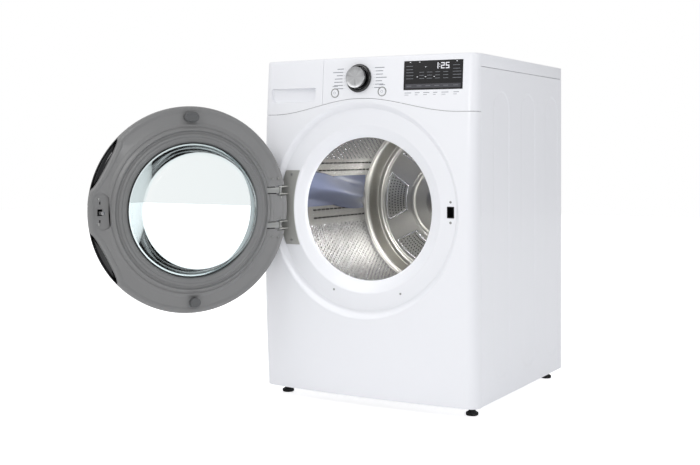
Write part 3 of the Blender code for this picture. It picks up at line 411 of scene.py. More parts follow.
def box(shape, low, high, bevel=0.0, paint=0, place=None):
    """A box between two corners, with softened edges."""
    low = Vector(low)
    high = Vector(high)
    made = bmesh.ops.create_cube(shape, size=1.0)
    verts = made["verts"]
    size = high - low
    for vert in verts:
        vert.co = low + Vector((size.x * (vert.co.x + 0.5), size.y * (vert.co.y + 0.5),
                                size.z * (vert.co.z + 0.5)))
    faces = {face for vert in verts for face in vert.link_faces}
    for face in faces:
        face.material_index = paint
    if bevel:
        edges = list({edge for vert in verts for edge in vert.link_edges})
        made = bmesh.ops.bevel(shape, geom=edges, offset=bevel, segments=2, profile=0.6,
                               affect="EDGES", clamp_overlap=True, material=paint)
        verts = list({vert for face in made["faces"] for vert in face.verts} | set(
            vert for vert in verts if vert.is_valid))
    if place is not None:
        for vert in verts:
            vert.co = place @ vert.co
    return verts


def disc(shape, place, radius, height, bevel=0.0004, steps=SMALL, paint=0):
    """A short closed cylinder on its seat, with a softened top edge."""
    bevel = min(bevel, height * 0.4, radius * 0.4)
    turn(shape, [(0, 0), (radius, 0), (radius, height - bevel),
                 (radius - bevel * 0.3, height - bevel * 0.3), (radius - bevel, height),
                 (0, height)], place, steps, closed=False, paint=paint)


def tube(shape, start, end, radius, steps=16, paint=0):
    start = Vector(start)
    end = Vector(end)
    disc(shape, frame_at(start, end - start), radius, (end - start).length, 0.0006, steps, paint)


def prism(shape, loop, low, high, place, paint=0, bevel=0.0):
    """A closed prism of a plane loop, between two heights of its local z."""
    bottom = [shape.verts.new((x, y, low)) for x, y in loop]
    top = [shape.verts.new((x, y, high)) for x, y in loop]
    faces = [shape.faces.new(list(reversed(bottom))), shape.faces.new(top)]
    for index in range(len(loop)):
        after = (index + 1) % len(loop)
        faces.append(shape.faces.new([bottom[index], bottom[after], top[after], top[index]]))
    for face in faces:
        face.material_index = paint
    verts = bottom + top
    if bevel:
        made = bmesh.ops.bevel(shape, geom=list(faces[1].edges), offset=bevel, segments=2,
                               profile=0.6, affect="EDGES", material=paint)
        verts = list({vert for face in made["faces"] for vert in face.verts}
                     | {vert for vert in verts if vert.is_valid})
    for vert in verts:
        vert.co = place @ vert.co


def arc(centre, radius, start, end, steps):
    return [(centre[0] + radius * math.cos(math.radians(start + (end - start) * step / steps)),
             centre[1] + radius * math.sin(math.radians(start + (end - start) * step / steps)))
            for step in range(steps + 1)]


def grid(shape, columns, rows, place, paint=0):
    """Open sheet of quads through place(column, row)."""
    verts = [[shape.verts.new(place(column, row)) for row in rows] for column in columns]
    for across in range(len(columns) - 1):
        for up in range(len(rows) - 1):
            face = shape.faces.new([verts[across][up], verts[across + 1][up],
                                    verts[across + 1][up + 1], verts[across][up + 1]])
            face.material_index = paint
    return verts


# ---- repeated details ---------------------------------------------------------------------------
def repeat_tree():
    """Geometry Nodes: the pattern on each point, turned and sized by the point's own values."""
    tree = bpy.data.node_groups.new("repeat_pattern", "GeometryNodeTree")
    face = tree.interface
    face.new_socket("Geometry", in_out="INPUT", socket_type="NodeSocketGeometry")
    pattern = face.new_socket("Pattern", in_out="INPUT", socket_type="NodeSocketObject")
    paint = face.new_socket("Paint", in_out="INPUT", socket_type="NodeSocketMaterial")
    face.new_socket("Geometry", in_out="OUTPUT", socket_type="NodeSocketGeometry")
    given = node(tree, "NodeGroupInput")
    shown = node(tree, "GeometryNodeObjectInfo", {"Object": given.outputs["Pattern"]})

    def stored(name, kind):
        made = node(tree, "GeometryNodeInputNamedAttribute", {"Name": name}, data_type=kind)
        return next(socket for socket in made.outputs if socket.enabled)

    placed = node(tree, "GeometryNodeInstanceOnPoints", {
        "Points": given.outputs["Geometry"], "Instance": shown.outputs["Geometry"],
        "Rotation": stored("spin", "FLOAT_VECTOR"), "Scale": stored("size", "FLOAT")})
    solid = node(tree, "GeometryNodeRealizeInstances", {"Geometry": placed.outputs["Instances"]})
    painted = node(tree, "GeometryNodeSetMaterial", {"Geometry": solid.outputs["Geometry"],
                                                     "Material": given.outputs["Paint"]})
    node(tree, "NodeGroupOutput", {"Geometry": painted.outputs["Geometry"]})
    return tree, pattern.identifier, paint.identifier


REPEAT, PATTERN_SOCKET, PAINT_SOCKET = repeat_tree()


def repeat(name, pattern, spots, paint, body, angle=32.0):
    """One piece made of the pattern standing at each spot, a (matrix, size) pair."""
    stamp = bpy.data.objects.new("stamp", to_mesh(pattern))
    bpy.context.scene.collection.objects.link(stamp)
    points = bpy.data.meshes.new("points")
    points.from_pydata([matrix.translation[:] for matrix, _ in spots], [], [])
    for key, kind in (("spin", "FLOAT_VECTOR"), ("size", "FLOAT")):
        points.attributes.new(key, kind, "POINT")
    spin = points.attributes["spin"]
    size = points.attributes["size"]
    for index, (matrix, scale) in enumerate(spots):
        spin.data[index].vector = matrix.to_euler("XYZ")[:]
        size.data[index].value = scale
    held = bpy.data.objects.new("points", points)
    bpy.context.scene.collection.objects.link(held)
    change = held.modifiers.new("repeat", "NODES")
    change.node_group = REPEAT
    change[PATTERN_SOCKET] = stamp
    change[PAINT_SOCKET] = paint
    graph = bpy.context.evaluated_depsgraph_get()
    mesh = bpy.data.meshes.new_from_object(held.evaluated_get(graph), depsgraph=graph)
    for gone in (held, stamp):
        bpy.data.objects.remove(gone, do_unlink=True)
    return show(name, mesh, [paint], body, angle=angle)


def screw_pattern():
    """Pan head, 8 mm across, with a cross recess; it stands on local z = 0."""
    head = bmesh.new()
    turn(head, [(0, -0.001), (0.0040, -0.001), (0.0040, 0.0008), (0.0034, 0.0017),
                (0.0020, 0.0022), (0, 0.0024)], UPRIGHT, 20, closed=False)
    tools = []
    for long, wide in ((0.0024, 0.0005), (0.0005, 0.0024)):
        slot_shape = bmesh.new()
        box(slot_shape, (-long, -wide, 0.0010), (long, wide, 0.004))
        tools.append(slot_shape)
    made = bmesh.new()
    made.from_mesh(cut(to_mesh(head), *tools))
    return made


def screws(name, spots, paint, body, place=None):
    """Screws at (point, axis, size); place moves them all, as the door is swung."""
    move = place if place is not None else Matrix.Identity(4)
    repeat(name, screw_pattern(), [(move @ frame_at(point, axis), size)
                                   for point, axis, size in spots], paint, body)


# ---- cabinet ------------------------------------------------------------------------------------
def edge_distance(angle):
    """Distance from the drum axis to the edge of the front panel, in one direction."""
    across = math.cos(angle)
    up = math.sin(angle)
    limit = CORNER_X / max(abs(across), 1e-9)
    if up < 0:
        return min(limit, (AXIS_Z - 0.001) / -up)
    low, high = 0.0, min(limit, 1.0)
    if AXIS_Z + up * high < seam_arch(across * high) - SEAM / 2:
        return high
    for _ in range(40):
        middle = (low + high) / 2
        if AXIS_Z + up * middle < seam_arch(across * middle) - SEAM / 2:
            low = middle
        else:
            high = middle
    return low


def lip_radius(angle):
    """Where the recess wall meets the crowned face, in one direction."""
    radius = RECESS_R
    for _ in range(12):
        y = crown_y(radius * math.cos(angle), AXIS_Z + radius * math.sin(angle))
        radius = RECESS_R + RECESS_SLOPE * (RECESS_Y - y)
    return radius


def panel_angles(count):
    """Even directions round the axis, with the panel's four corners among them."""
    corners = [math.atan2(z - AXIS_Z, side * CORNER_X) % (2 * math.pi)
               for side in (-1, 1) for z in (0.001, ARCH_LOW_Z - SEAM / 2)]
    even = [2 * math.pi * step / count for step in range(count)]
    kept = [angle for angle in even if min(abs(angle - corner) for corner in corners) > 0.008]
    return sorted(kept + corners)


def opened(shape, low, high):
    """Opens a rectangle in an upright sheet; low and high are its (x, z) corners."""
    for axis, level in ((0, low[0]), (0, high[0]), (2, low[1]), (2, high[1])):
        near = []
        for face in shape.faces:
            xs = [vertex.co.x for vertex in face.verts]
            zs = [vertex.co.z for vertex in face.verts]
            if (min(xs) < high[0] + 0.001 and max(xs) > low[0] - 0.001
                    and min(zs) < high[1] + 0.001 and max(zs) > low[1] - 0.001):
                near.append(face)
        edges = {edge for face in near for edge in face.edges}
        points = {vertex for face in near for vertex in face.verts}
        where, across = Vector(), Vector()
        where[axis], across[axis] = level, 1.0
        bmesh.ops.bisect_plane(shape, geom=near + list(edges) + list(points), plane_co=where,
                               plane_no=across, dist=0.00001)
    inside = [face for face in shape.faces
              if low[0] < face.calc_center_median().x < high[0]
              and low[1] < face.calc_center_median().z < high[1]]
    bmesh.ops.delete(shape, geom=inside, context="FACES")


def front_panel():
    shape = bmesh.new()
    dish = rounded([(OPENING_R, -0.3345), (OPENING_R, -0.3370), (OPENING_R + 0.006, -0.3415),
                    (STEP_R - 0.006, -0.3520), (STEP_R, -0.3560), (STEP_R + 0.004, RECESS_Y),
                    (RECESS_R, RECESS_Y), (RECESS_R + 0.0035, RECESS_Y - 0.0035 / RECESS_SLOPE)],
                   0.0028, closed=False)
    angles = panel_angles(2 * ROUND)
    columns = []
    for angle in angles:
        across, up = math.cos(angle), math.sin(angle)
        column = [Vector((radius * across, y, AXIS_Z + radius * up)) for radius, y in dish]
        lip = lip_radius(angle)
        edge = edge_distance(angle)
        lip_y = crown_y(lip * across, AXIS_Z + lip * up)
        wall = Vector(((lip - 0.003) * across, lip_y + 0.003 / RECESS_SLOPE,
                       AXIS_Z + (lip - 0.003) * up))
        corner = Vector((lip * across, lip_y, AXIS_Z + lip * up))
        out = lip + 0.0035
        face = Vector((out * across, crown_y(out * across, AXIS_Z + out * up), AXIS_Z + out * up))
        for share in (0.0, 0.25, 0.5, 0.75, 1.0):
            column.append(wall * (1 - share) ** 2 + corner * 2 * share * (1 - share)
                          + face * share ** 2)
        for share in (0.15, 0.4, 0.65, 0.85):
            reach = out + (edge - 0.0028 - out) * share
            column.append(Vector((reach * across, crown_y(reach * across, AXIS_Z + reach * up),
                                  AXIS_Z + reach * up)))
        for reach in (edge - 0.0028, edge):
            column.append(Vector((reach * across, crown_y(reach * across, AXIS_Z + reach * up),
                                  AXIS_Z + reach * up)))
        columns.append([shape.verts.new(point) for point in column])
    for index, column in enumerate(columns):
        after = columns[(index + 1) % len(columns)]
        for row in range(len(column) - 1):
            shape.faces.new([column[row], column[row + 1], after[row + 1], after[row]])
    for side in (-1, 1):
        heights = sorted(column[-1].co.z for column in columns
                         if abs(column[-1].co.x - side * CORNER_X) < 1e-6)
        grid(shape, CORNER_STOPS, heights,
             lambda position, z, side=side: outline_point(side * position, z))
    bmesh.ops.remove_doubles(shape, verts=shape.verts, dist=0.00002)
    bmesh.ops.recalc_face_normals(shape, faces=shape.faces)
    if sum(face.normal.y * face.calc_area() for face in shape.faces) > 0:
        bmesh.ops.reverse_faces(shape, faces=shape.faces)
    opened(shape, (LATCH_X - 0.0105, LATCH_Z - 0.0155), (LATCH_X + 0.0105, LATCH_Z + 0.0155))
    mesh = changed(to_mesh(shape, recalc=False),
                   ("SOLIDIFY", {"thickness": MOULD, "offset": -1.0, "use_even_offset": True}),
                   ("BEVEL", {"width": 0.0011, "segments": 2, "limit_method": "ANGLE",
                              "angle_limit": math.radians(60), "use_clamp_overlap": False}))
    show("front_panel", mesh, [ENAMEL], "cabinet", ["front_panel"])


def upper_skin(first, last, steps):
    """Sheet of the front above the arch, rounding over at the top and running back to the lip."""
    positions = [first + (min(last, 1.0) - first) * step / steps for step in range(steps + 1)]
    if last > 1:
        positions += CORNER_STOPS[1:]
    if first <= -1:
        positions = [-stop for stop in reversed(CORNER_STOPS[1:])] + positions
    rows = 12
    turns = 5

    def place(position, row):
        flat = outline_point(position, HEIGHT)
        low = seam_arch(flat.x) + SEAM / 2
        crest = HEIGHT - EDGE_R
        if row <= rows:
            return outline_point(position, low + (crest - low) * row / rows)
        if row <= rows + turns:
            angle = math.pi / 2 * (row - rows) / turns
            point = outline_point(position, crest, EDGE_R * (1 - math.cos(angle)))
            point.z = crest + EDGE_R * math.sin(angle)
            return point
        point = outline_point(position, crest, EDGE_R)
        point.y = REAR_LIP_Y
        point.z = HEIGHT
        return point

    shape = bmesh.new()
    grid(shape, positions, list(range(rows + turns + 2)), place)
    bmesh.ops.recalc_face_normals(shape, faces=shape.faces)
    if sum(face.normal.y * face.calc_area() for face in shape.faces) > 0:
        bmesh.ops.reverse_faces(shape, faces=shape.faces)
    bmesh.ops.remove_doubles(shape, verts=shape.verts, dist=0.0006)
    return changed(to_mesh(shape, recalc=False),
                   ("SOLIDIFY", {"thickness": MOULD, "offset": -1.0, "use_even_offset": True,
                                 "thickness_clamp": 1.0}))


def rounded_rectangle(x_range, z_range, radius, steps=6):
    loop = arc((x_range[0] + radius, z_range[0] + radius), radius, 180, 270, steps)
    loop += arc((x_range[1] - radius, z_range[0] + radius), radius, 270, 360, steps)
    loop += arc((x_range[1] - radius, z_range[1] - radius), radius, 0, 90, steps)
    loop += arc((x_range[0] + radius, z_range[1] - radius), radius, 90, 180, steps)
    return loop


# local x stays, local y points up and local z points out of the front (world -y)
FACING = Matrix(((1, 0, 0, 0), (0, 0, -1, 0), (0, 1, 0, 0), (0, 0, 0, 1)))


def control_panel():
    skin = upper_skin((DRAWER_SEAM_X + SEAM / 2) / CORNER_X, 2.0, 48)
    tools = []
    hole = bmesh.new()
    prism(hole, rounded_rectangle(DISPLAY_X, DISPLAY_Z, 0.0012, 3), 0.345, 0.40, FACING)
    tools.append(hole)
    for spot, radius in [(KNOB, 0.0060)] + [(spot, BUTTON_R + 0.0006) for spot in BUTTONS.values()]:
        hole = bmesh.new()
        tube(hole, on_crown(*spot, 0.02), on_crown(*spot, -0.02), radius, 40)
        tools.append(hole)
    show("control_panel", cut(skin, *tools), [PLASTIC], "cabinet",
         ["control_panel"])


def drawer_front():
    skin = upper_skin(-1.0, (DRAWER_SEAM_X - SEAM / 2) / CORNER_X, 30)
    radius = 0.018
    loop = arc((GRIP_X[0] + radius, GRIP_Z[0] + radius), radius, 180, 270, 8)
    loop += arc((GRIP_X[1] - radius, GRIP_Z[0] + radius), radius, 270, 360, 8)
    loop += [(GRIP_X[1], GRIP_Z[1] - 0.002), (GRIP_X[1] - 0.002, GRIP_Z[1]),
             (GRIP_X[0] + 0.002, GRIP_Z[1]), (GRIP_X[0], GRIP_Z[1] - 0.002)]
    hole = bmesh.new()
    prism(hole, loop, 0.33, 0.42, FACING)
    front = cut(skin, hole)
    shape = bmesh.new()
    shape.from_mesh(front)
    middle = Vector(((GRIP_X[0] + GRIP_X[1]) / 2, (GRIP_Z[0] + GRIP_Z[1]) / 2))
    floor_y = crown_y(*middle) + GRIP_DEPTH
    rings = []
    levels = ((0.0008, None, 0.0), (0.0016, None, 0.0006), (None, 0.006, 0.0008),
              (None, 0.0015, 0.0024), (None, 0.0, 0.006))
    for below_face, above_floor, shrink in levels:
        ring = []
        for point in loop:
            here = Vector(point)
            inward = middle - here
            reach = Vector((math.copysign(min(abs(inward.x), shrink), inward.x),
                            math.copysign(min(abs(inward.y), shrink), inward.y)))
            here += reach
            y = floor_y - above_floor if below_face is None else crown_y(*here) + below_face
            ring.append(shape.verts.new((here.x, y, here.y)))
        rings.append(ring)
    behind = [[shape.verts.new((vert.co.x + math.copysign(0.002, vert.co.x - middle.x), vert.co.y
                                + (0.0 if index < 3 else 0.002),
                                vert.co.z + math.copysign(0.002, vert.co.z - middle.y)))
               for vert in ring] for index, ring in enumerate(rings)]
    bands = rings + list(reversed(behind))
    count = len(loop)
    for band in range(len(bands)):
        below, above = bands[band], bands[(band + 1) % len(bands)]
        if below is rings[-1]:
            continue
        for index in range(count):
            after = (index + 1) % count
            shape.faces.new([below[index], below[after], above[after], above[index]])
    shape.faces.new(rings[-1])
    shape.faces.new(list(reversed(behind[-1])))
    piece("drawer_front", shape, [PLASTIC], "water_drawer", ["drawer_front"])


def emboss_side(name, side):
    """Side panel: flat sheet with three long pressed panels, and its edges folded inwards."""
    shape = bmesh.new()
    x_out = side * HALF

    def ring(loop, sink):
        return [shape.verts.new((x_out - side * sink, y, z)) for y, z in loop]

    outer = [(FRONT_SEAM_Y + 0.0008, 0.0025), (0.3172, 0.0025), (0.3172, TOP_SEAM_Z - 0.0010),
             (FRONT_SEAM_Y + 0.0008, TOP_SEAM_Z - 0.0010)]
    border = ring(outer, 0.0)
    edges = [shape.edges.new((border[index], border[(index + 1) % 4])) for index in range(4)]
    sink_steps = ((-0.004, 0.0), (0.0, 0.0), (0.0015, 0.00012), (0.0035, 0.0006), (0.0055, 0.00108),
                  (0.007, 0.0012), (0.011, 0.0012))
    for centre in (-0.177, 0.029, 0.230):
        rings = []
        for shrink, sink in sink_steps:
            radius = 0.060 - shrink
            low, high = 0.055 + 0.060, 0.868 - 0.060
            loop = arc((centre, low), radius, 180, 360, 20) + arc((centre, high), radius, 0, 180,
                                                                    20)
            rings.append(ring(loop, sink))
        count = len(rings[0])
        edges += [shape.edges.new((rings[0][index], rings[0][(index + 1) % count]))
                  for index in range(count)]
        for below, above in zip(rings, rings[1:]):
            for index in range(count):
                after = (index + 1) % count
                shape.faces.new([below[index], below[after], above[after], above[index]])
        shape.faces.new(rings[-1])
    bmesh.ops.triangle_fill(shape, use_beauty=True, edges=edges)
    flange = [((FRONT_SEAM_Y, 0.3180), 0.0008), ((FRONT_SEAM_Y, 0.3180), 0.017)]
    inner = None
    for (front_y, rear_y), sink in flange:
        loop = [(front_y, 0.0020), (rear_y, 0.0020), (rear_y, TOP_SEAM_Z - 0.0005),
                (front_y, TOP_SEAM_Z - 0.0005)]
        verts = ring(loop, sink)
        before = inner or border
        for index in range(4):
            if inner is not None and index in (0, 2):
                continue
            after = (index + 1) % 4
            shape.faces.new([before[index], before[after], verts[after], verts[index]])
        inner = verts
    bmesh.ops.recalc_face_normals(shape, faces=shape.faces)
    if sum(face.normal.x * face.calc_area() for face in shape.faces) * side < 0:
        bmesh.ops.reverse_faces(shape, faces=shape.faces)
    mesh = changed(to_mesh(shape, recalc=False),
                   ("SOLIDIFY", {"thickness": 0.0010, "offset": -1.0, "use_even_offset": True}))
    show(name, mesh, [ENAMEL], "cabinet", [name], 25)


def top_and_back():
    shape = bmesh.new()
    box(shape, (-HALF, -0.3197, TOP_SEAM_Z), (HALF, 0.320, HEIGHT), 0.0030)
    hollow = bmesh.new()
    box(hollow, (-HALF + 0.002, -0.3177, TOP_SEAM_Z - 0.01), (HALF - 0.002, 0.318, HEIGHT - 0.002))
    show("top_panel", cut(to_mesh(shape), hollow), [ENAMEL], "cabinet",
         ["top_panel"])
    shape = bmesh.new()
    box(shape, (-0.3425, 0.3185, 0.002), (0.3425, 0.320, TOP_SEAM_Z - 0.0005), 0.0003)
    opening = bmesh.new()
    box(opening, (-0.17, 0.31, 0.18), (0.17, 0.33, 0.62))
    socket = bmesh.new()
    box(socket, (0.2345, 0.31, 0.8445), (0.2755, 0.33, 0.8755))
    show("back_panel", cut(to_mesh(shape), opening, socket), [ENAMEL], "cabinet",
         ["back_panel"])
    cover = bmesh.new()
    box(cover, (-0.182, 0.3165, 0.168), (0.182, 0.3182, 0.632), 0.0003)
    vents = bmesh.new()
    for column in range(10):
        for row in range(5):
            x = -0.095 + column * 0.0195
            z = 0.25 + 0.03 * row
            prism(vents, rounded_rectangle((x, x + 0.0150), (z, z + 0.008), 0.0035, 4), -0.33,
                  -0.31, FACING)
    show("rear_access_cover", cut(to_mesh(cover), vents), [ENAMEL], "cabinet",
         ["rear_access_cover"])
    rim = bmesh.new()
    box(rim, (0.235, 0.295, 0.845), (0.275, 0.3198, 0.875), 0.0008)
    hollow = bmesh.new()
    prism(hollow, [(0.243, 0.850), (0.267, 0.850), (0.269, 0.853), (0.269, 0.866), (0.264, 0.870),
                   (0.246, 0.870), (0.241, 0.866), (0.241, 0.853)], -0.34, -0.302, FACING)
    inlet = bmesh.new()
    inlet.from_mesh(cut(to_mesh(rim), hollow))
    for x in (0.248, 0.255, 0.262):
        box(inlet, (x - 0.001, 0.3015, 0.8575), (x + 0.001, 0.3165, 0.8625), 0.0004, 1)
    piece("power_inlet", inlet, [BLACK, ZINC], "cabinet", ["power_inlet"])
    spots = [(x, z) for x in (-0.325, 0.325) for z in (0.03, 0.25, 0.47, 0.69, 0.90)]
    spots += [(x, z) for x in (-0.2, 0.0, 0.2) for z in (0.03, 0.90)]
    screws("back_screws", [((x, 0.3170, z), (0, 1, 0), 1.0) for x, z in spots], ZINC, "cabinet")


# ---- controls -----------------------------------------------------------------------------------
def controls():
    seat = on_crown(*KNOB)
    axis = crown_normal(*KNOB)
    place = frame_at(seat, axis)
    shape = bmesh.new()
    turn(shape, rounded([(KNOB_R + 0.0012, 0.0012), (BEZEL_R, 0.0012), (BEZEL_R, 0.0035),
                         (BEZEL_R - 0.0022, 0.0066), (KNOB_R + 0.0034, 0.0074),
                         (KNOB_R + 0.0012, 0.0054)], 0.0014), place, 96)
    piece("knob_bezel", shape, [GLOSS_BLACK], "cabinet", ["knob_bezel"])
    shape = bmesh.new()
    turn(shape, rounded([(0, -0.012), (0.0035, -0.012), (0.0035, 0.0015), (KNOB_R, 0.0015),
                         (KNOB_R, 0.0218), (KNOB_R - 0.0008, 0.0226), (0, 0.0226)], 0.0006,
                        closed=False), place, 96, closed=False)
    piece("control_knob", shape, [GLOSS_BLACK], "selector_knob", ["control_knob"])
    shape = bmesh.new()
    turn(shape, [(0, 0.0222), (KNOB_R - 0.0010, 0.0222), (KNOB_R - 0.0010, 0.0228),
                 (KNOB_R - 0.0018, 0.0234), (KNOB_R - 0.0030, 0.0231), (0.0200, 0.0230),
                 (0.0100, 0.0230), (0, 0.0230)], place, 96, closed=False)
    # the face's material paints the brushed metal's highlight as lighter and darker lobes round the
    # disc
    piece("knob_face", shape, [BRUSHED_AND_PAINTED_HIGHLIGHT], "selector_knob")
    for name, spot in BUTTONS.items():
        seat = on_crown(*spot)
        axis = crown_normal(*spot)
        body = "power_key" if name == "power_button" else "start_key"
        shape = bmesh.new()
        turn(shape, rounded([(0, -0.006), (BUTTON_R, -0.006), (BUTTON_R, 0.0008),
                             (BUTTON_R - 0.0010, 0.0018), (0, 0.0024)], 0.0006, closed=False),
             frame_at(seat, axis), 48, closed=False)
        piece(name, shape, [PLASTIC], body, [name])
        shape = bmesh.new()
        turn(shape, rounded([(BUTTON_R + 0.0005, -0.0005), (0.0136, -0.0005), (0.0136, 0.0006),
                             (0.0128, 0.0012), (BUTTON_R + 0.0005, 0.0009)], 0.0003),
             frame_at(seat, axis), 48)
        piece(name + "_ring", shape, [ZINC], "cabinet")


def mark(shape, x_range, z_range, proud=0.0002, paint=0, slant=0.0):
    """A thin printed slab that follows the crowned face."""
    columns = max(1, int((x_range[1] - x_range[0]) / 0.008))
    tops = []
    for level in (proud, proud - 0.00015):
        tops.append([[shape.verts.new(on_crown(x_range[0] + (x_range[1] - x_range[0]) * step
                                               / columns + slant * (z - z_range[0]), z, level))
                      for z in z_range] for step in range(columns + 1)])
    for verts, turned in ((tops[0], False), (tops[1], True)):
        for step in range(columns):
            loop = [verts[step][0], verts[step + 1][0], verts[step + 1][1], verts[step][1]]
            face = shape.faces.new(list(reversed(loop)) if turned else loop)
            face.material_index = paint
    over, under = tops
    rim = [(step, 0) for step in range(columns + 1)] + [(step, 1) for step in
                                                         reversed(range(columns + 1))]
    for (a, low), (b, high) in zip(rim, rim[1:] + rim[:1]):
        face = shape.faces.new([over[a][low], over[b][high], under[b][high], under[a][low]])
        face.material_index = paint


SEGMENTS = {"1": "bc", "2": "abged", "5": "afgcd"}


def digit(shape, value, x, z, width, height, stroke):
    """A seven-segment numeral."""
    middle = z + height / 2
    bars = {"a": ((x, x + width), (z + height - stroke, z + height)),
            "g": ((x, x + width), (middle - stroke / 2, middle + stroke / 2)),
            "d": ((x, x + width), (z, z + stroke)),
            "b": ((x + width - stroke, x + width), (middle, z + height)),
            "c": ((x + width - stroke, x + width), (z, middle)),
            "f": ((x, x + stroke), (middle, z + height)),
            "e": ((x, x + stroke), (z, middle))}
    for letter in SEGMENTS[value]:
        mark(shape, *bars[letter], proud=0.0001)


def display():
    shape = bmesh.new()
    edge = 0.0004
    columns = [DISPLAY_X[0] + edge + (DISPLAY_X[1] - DISPLAY_X[0] - 2 * edge) * step / 16
               for step in range(17)]
    rows = [DISPLAY_Z[0] + edge + (DISPLAY_Z[1] - DISPLAY_Z[0] - 2 * edge) * step / 6
            for step in range(7)]
    grid(shape, columns, rows, lambda x, z: on_crown(x, z, -0.0003))
    bmesh.ops.recalc_face_normals(shape, faces=shape.faces)
    if sum(face.normal.y for face in shape.faces) > 0:
        bmesh.ops.reverse_faces(shape, faces=shape.faces)
    mesh = changed(to_mesh(shape, recalc=False), ("SOLIDIFY", {"thickness": 0.0024,
                                                               "offset": -1.0}))
    show("display_window", mesh, [SMOKED], "cabinet", ["display_window"])
    strip = bmesh.new()
    mark(strip, (DISPLAY_X[0] + 0.006, DISPLAY_X[1] - 0.006), (DISPLAY_Z[0] + 0.005,
                                                               DISPLAY_Z[0] + 0.0165), 0.0)
    piece("display_strip", strip, [SMOKED_PALE], "cabinet")
    shown = bmesh.new()
    digit(shown, "1", 0.2300, 0.9210, 0.0050, 0.0170, 0.0026)
    for z in (0.9255, 0.9320):
        mark(shown, (0.2378, 0.2400), (z, z + 0.0022), 0.0001)
    digit(shown, "2", 0.2425, 0.9210, 0.0105, 0.0170, 0.0026)
    digit(shown, "5", 0.2560, 0.9210, 0.0105, 0.0170, 0.0026)
    for x, z in ((0.150, 0.9395), (0.178, 0.9395), (0.196, 0.9260), (0.286, 0.9395),
                 (0.172, 0.8990), (0.196, 0.8990), (0.222, 0.8990)):
        mark(shown, (x, x + 0.0040), (z, z + 0.0016), 0.0001)
    dim = bmesh.new()
    for x, wide in ((0.140, 0.022), (0.180, 0.014), (0.202, 0.016), (0.226, 0.014),
                    (0.250, 0.014), (0.277, 0.024)):
        for z in (0.8945, 0.9030, 0.9115):
            mark(dim, (x, x + wide), (z, z + 0.0014), 0.0001)
    for x, wide in ((0.140, 0.020), (0.277, 0.020)):
        for z in (0.9195, 0.9290):
            mark(dim, (x, x + wide), (z, z + 0.0014), 0.0001)
    for x in (0.150, 0.180, 0.206, 0.232, 0.258, 0.286):
        mark(dim, (x - 0.007, x + 0.007), (0.8742, 0.8756), 0.0004)
    piece("display_dim_marks", dim, [PRINT_DIM], "cabinet")
    piece("display_marks", shown, [PRINT_WHITE], "cabinet")


def labels():
    """Generic printed bars beside the knob, with leader lines, and marks round the display."""
    shape = bmesh.new()
    widths = (0.022, 0.030, 0.026, 0.034, 0.024, 0.028, 0.020)
    for side in (-1, 1):
        for row in range(7):
            z = 0.930 - 0.0093 * row
            bow = 0.004 * (1 - ((row - 3) / 3) ** 2)
            start = KNOB[0] + side * (BEZEL_R + 0.010 + bow)
            end = start + side * widths[(row * 3 + (side > 0)) % 7]
            mark(shape, (min(start, end), max(start, end)), (z - 0.0010, z + 0.0010))
            tip = KNOB[0] + side * (BEZEL_R + 0.0035 + bow * 0.6)
            mark(shape, (min(tip, start - side * 0.002), max(tip, start - side * 0.002)),
                 (z - 0.0002, z + 0.0002))
    for x, wide in ((0.137, 0.020), (0.168, 0.014), (0.193, 0.018), (0.222, 0.012),
                    (0.246, 0.020), (0.280, 0.016)):
        mark(shape, (x, x + wide), (0.8555, 0.8570))
        mark(shape, (x, x + wide * 0.6), (0.8500, 0.8512))
    for x, z in BUTTONS.values():
        mark(shape, (x - 0.009, x + 0.009), (z + 0.0180, z + 0.0196))
    piece("panel_print", shape, [PRINT_GREY], "cabinet")
    for (name, (x, z)), key in zip(BUTTONS.items(), ("power_key", "start_key")):
        held = bmesh.new()
        turn(held, [(0.0030, 0.0019), (0.0037, 0.0019), (0.0037, 0.0024), (0.0030, 0.0024)],
             frame_at(on_crown(x, z), crown_normal(x, z)), 24)
        piece(name + "_icon", held, [PRINT_GREY], key)


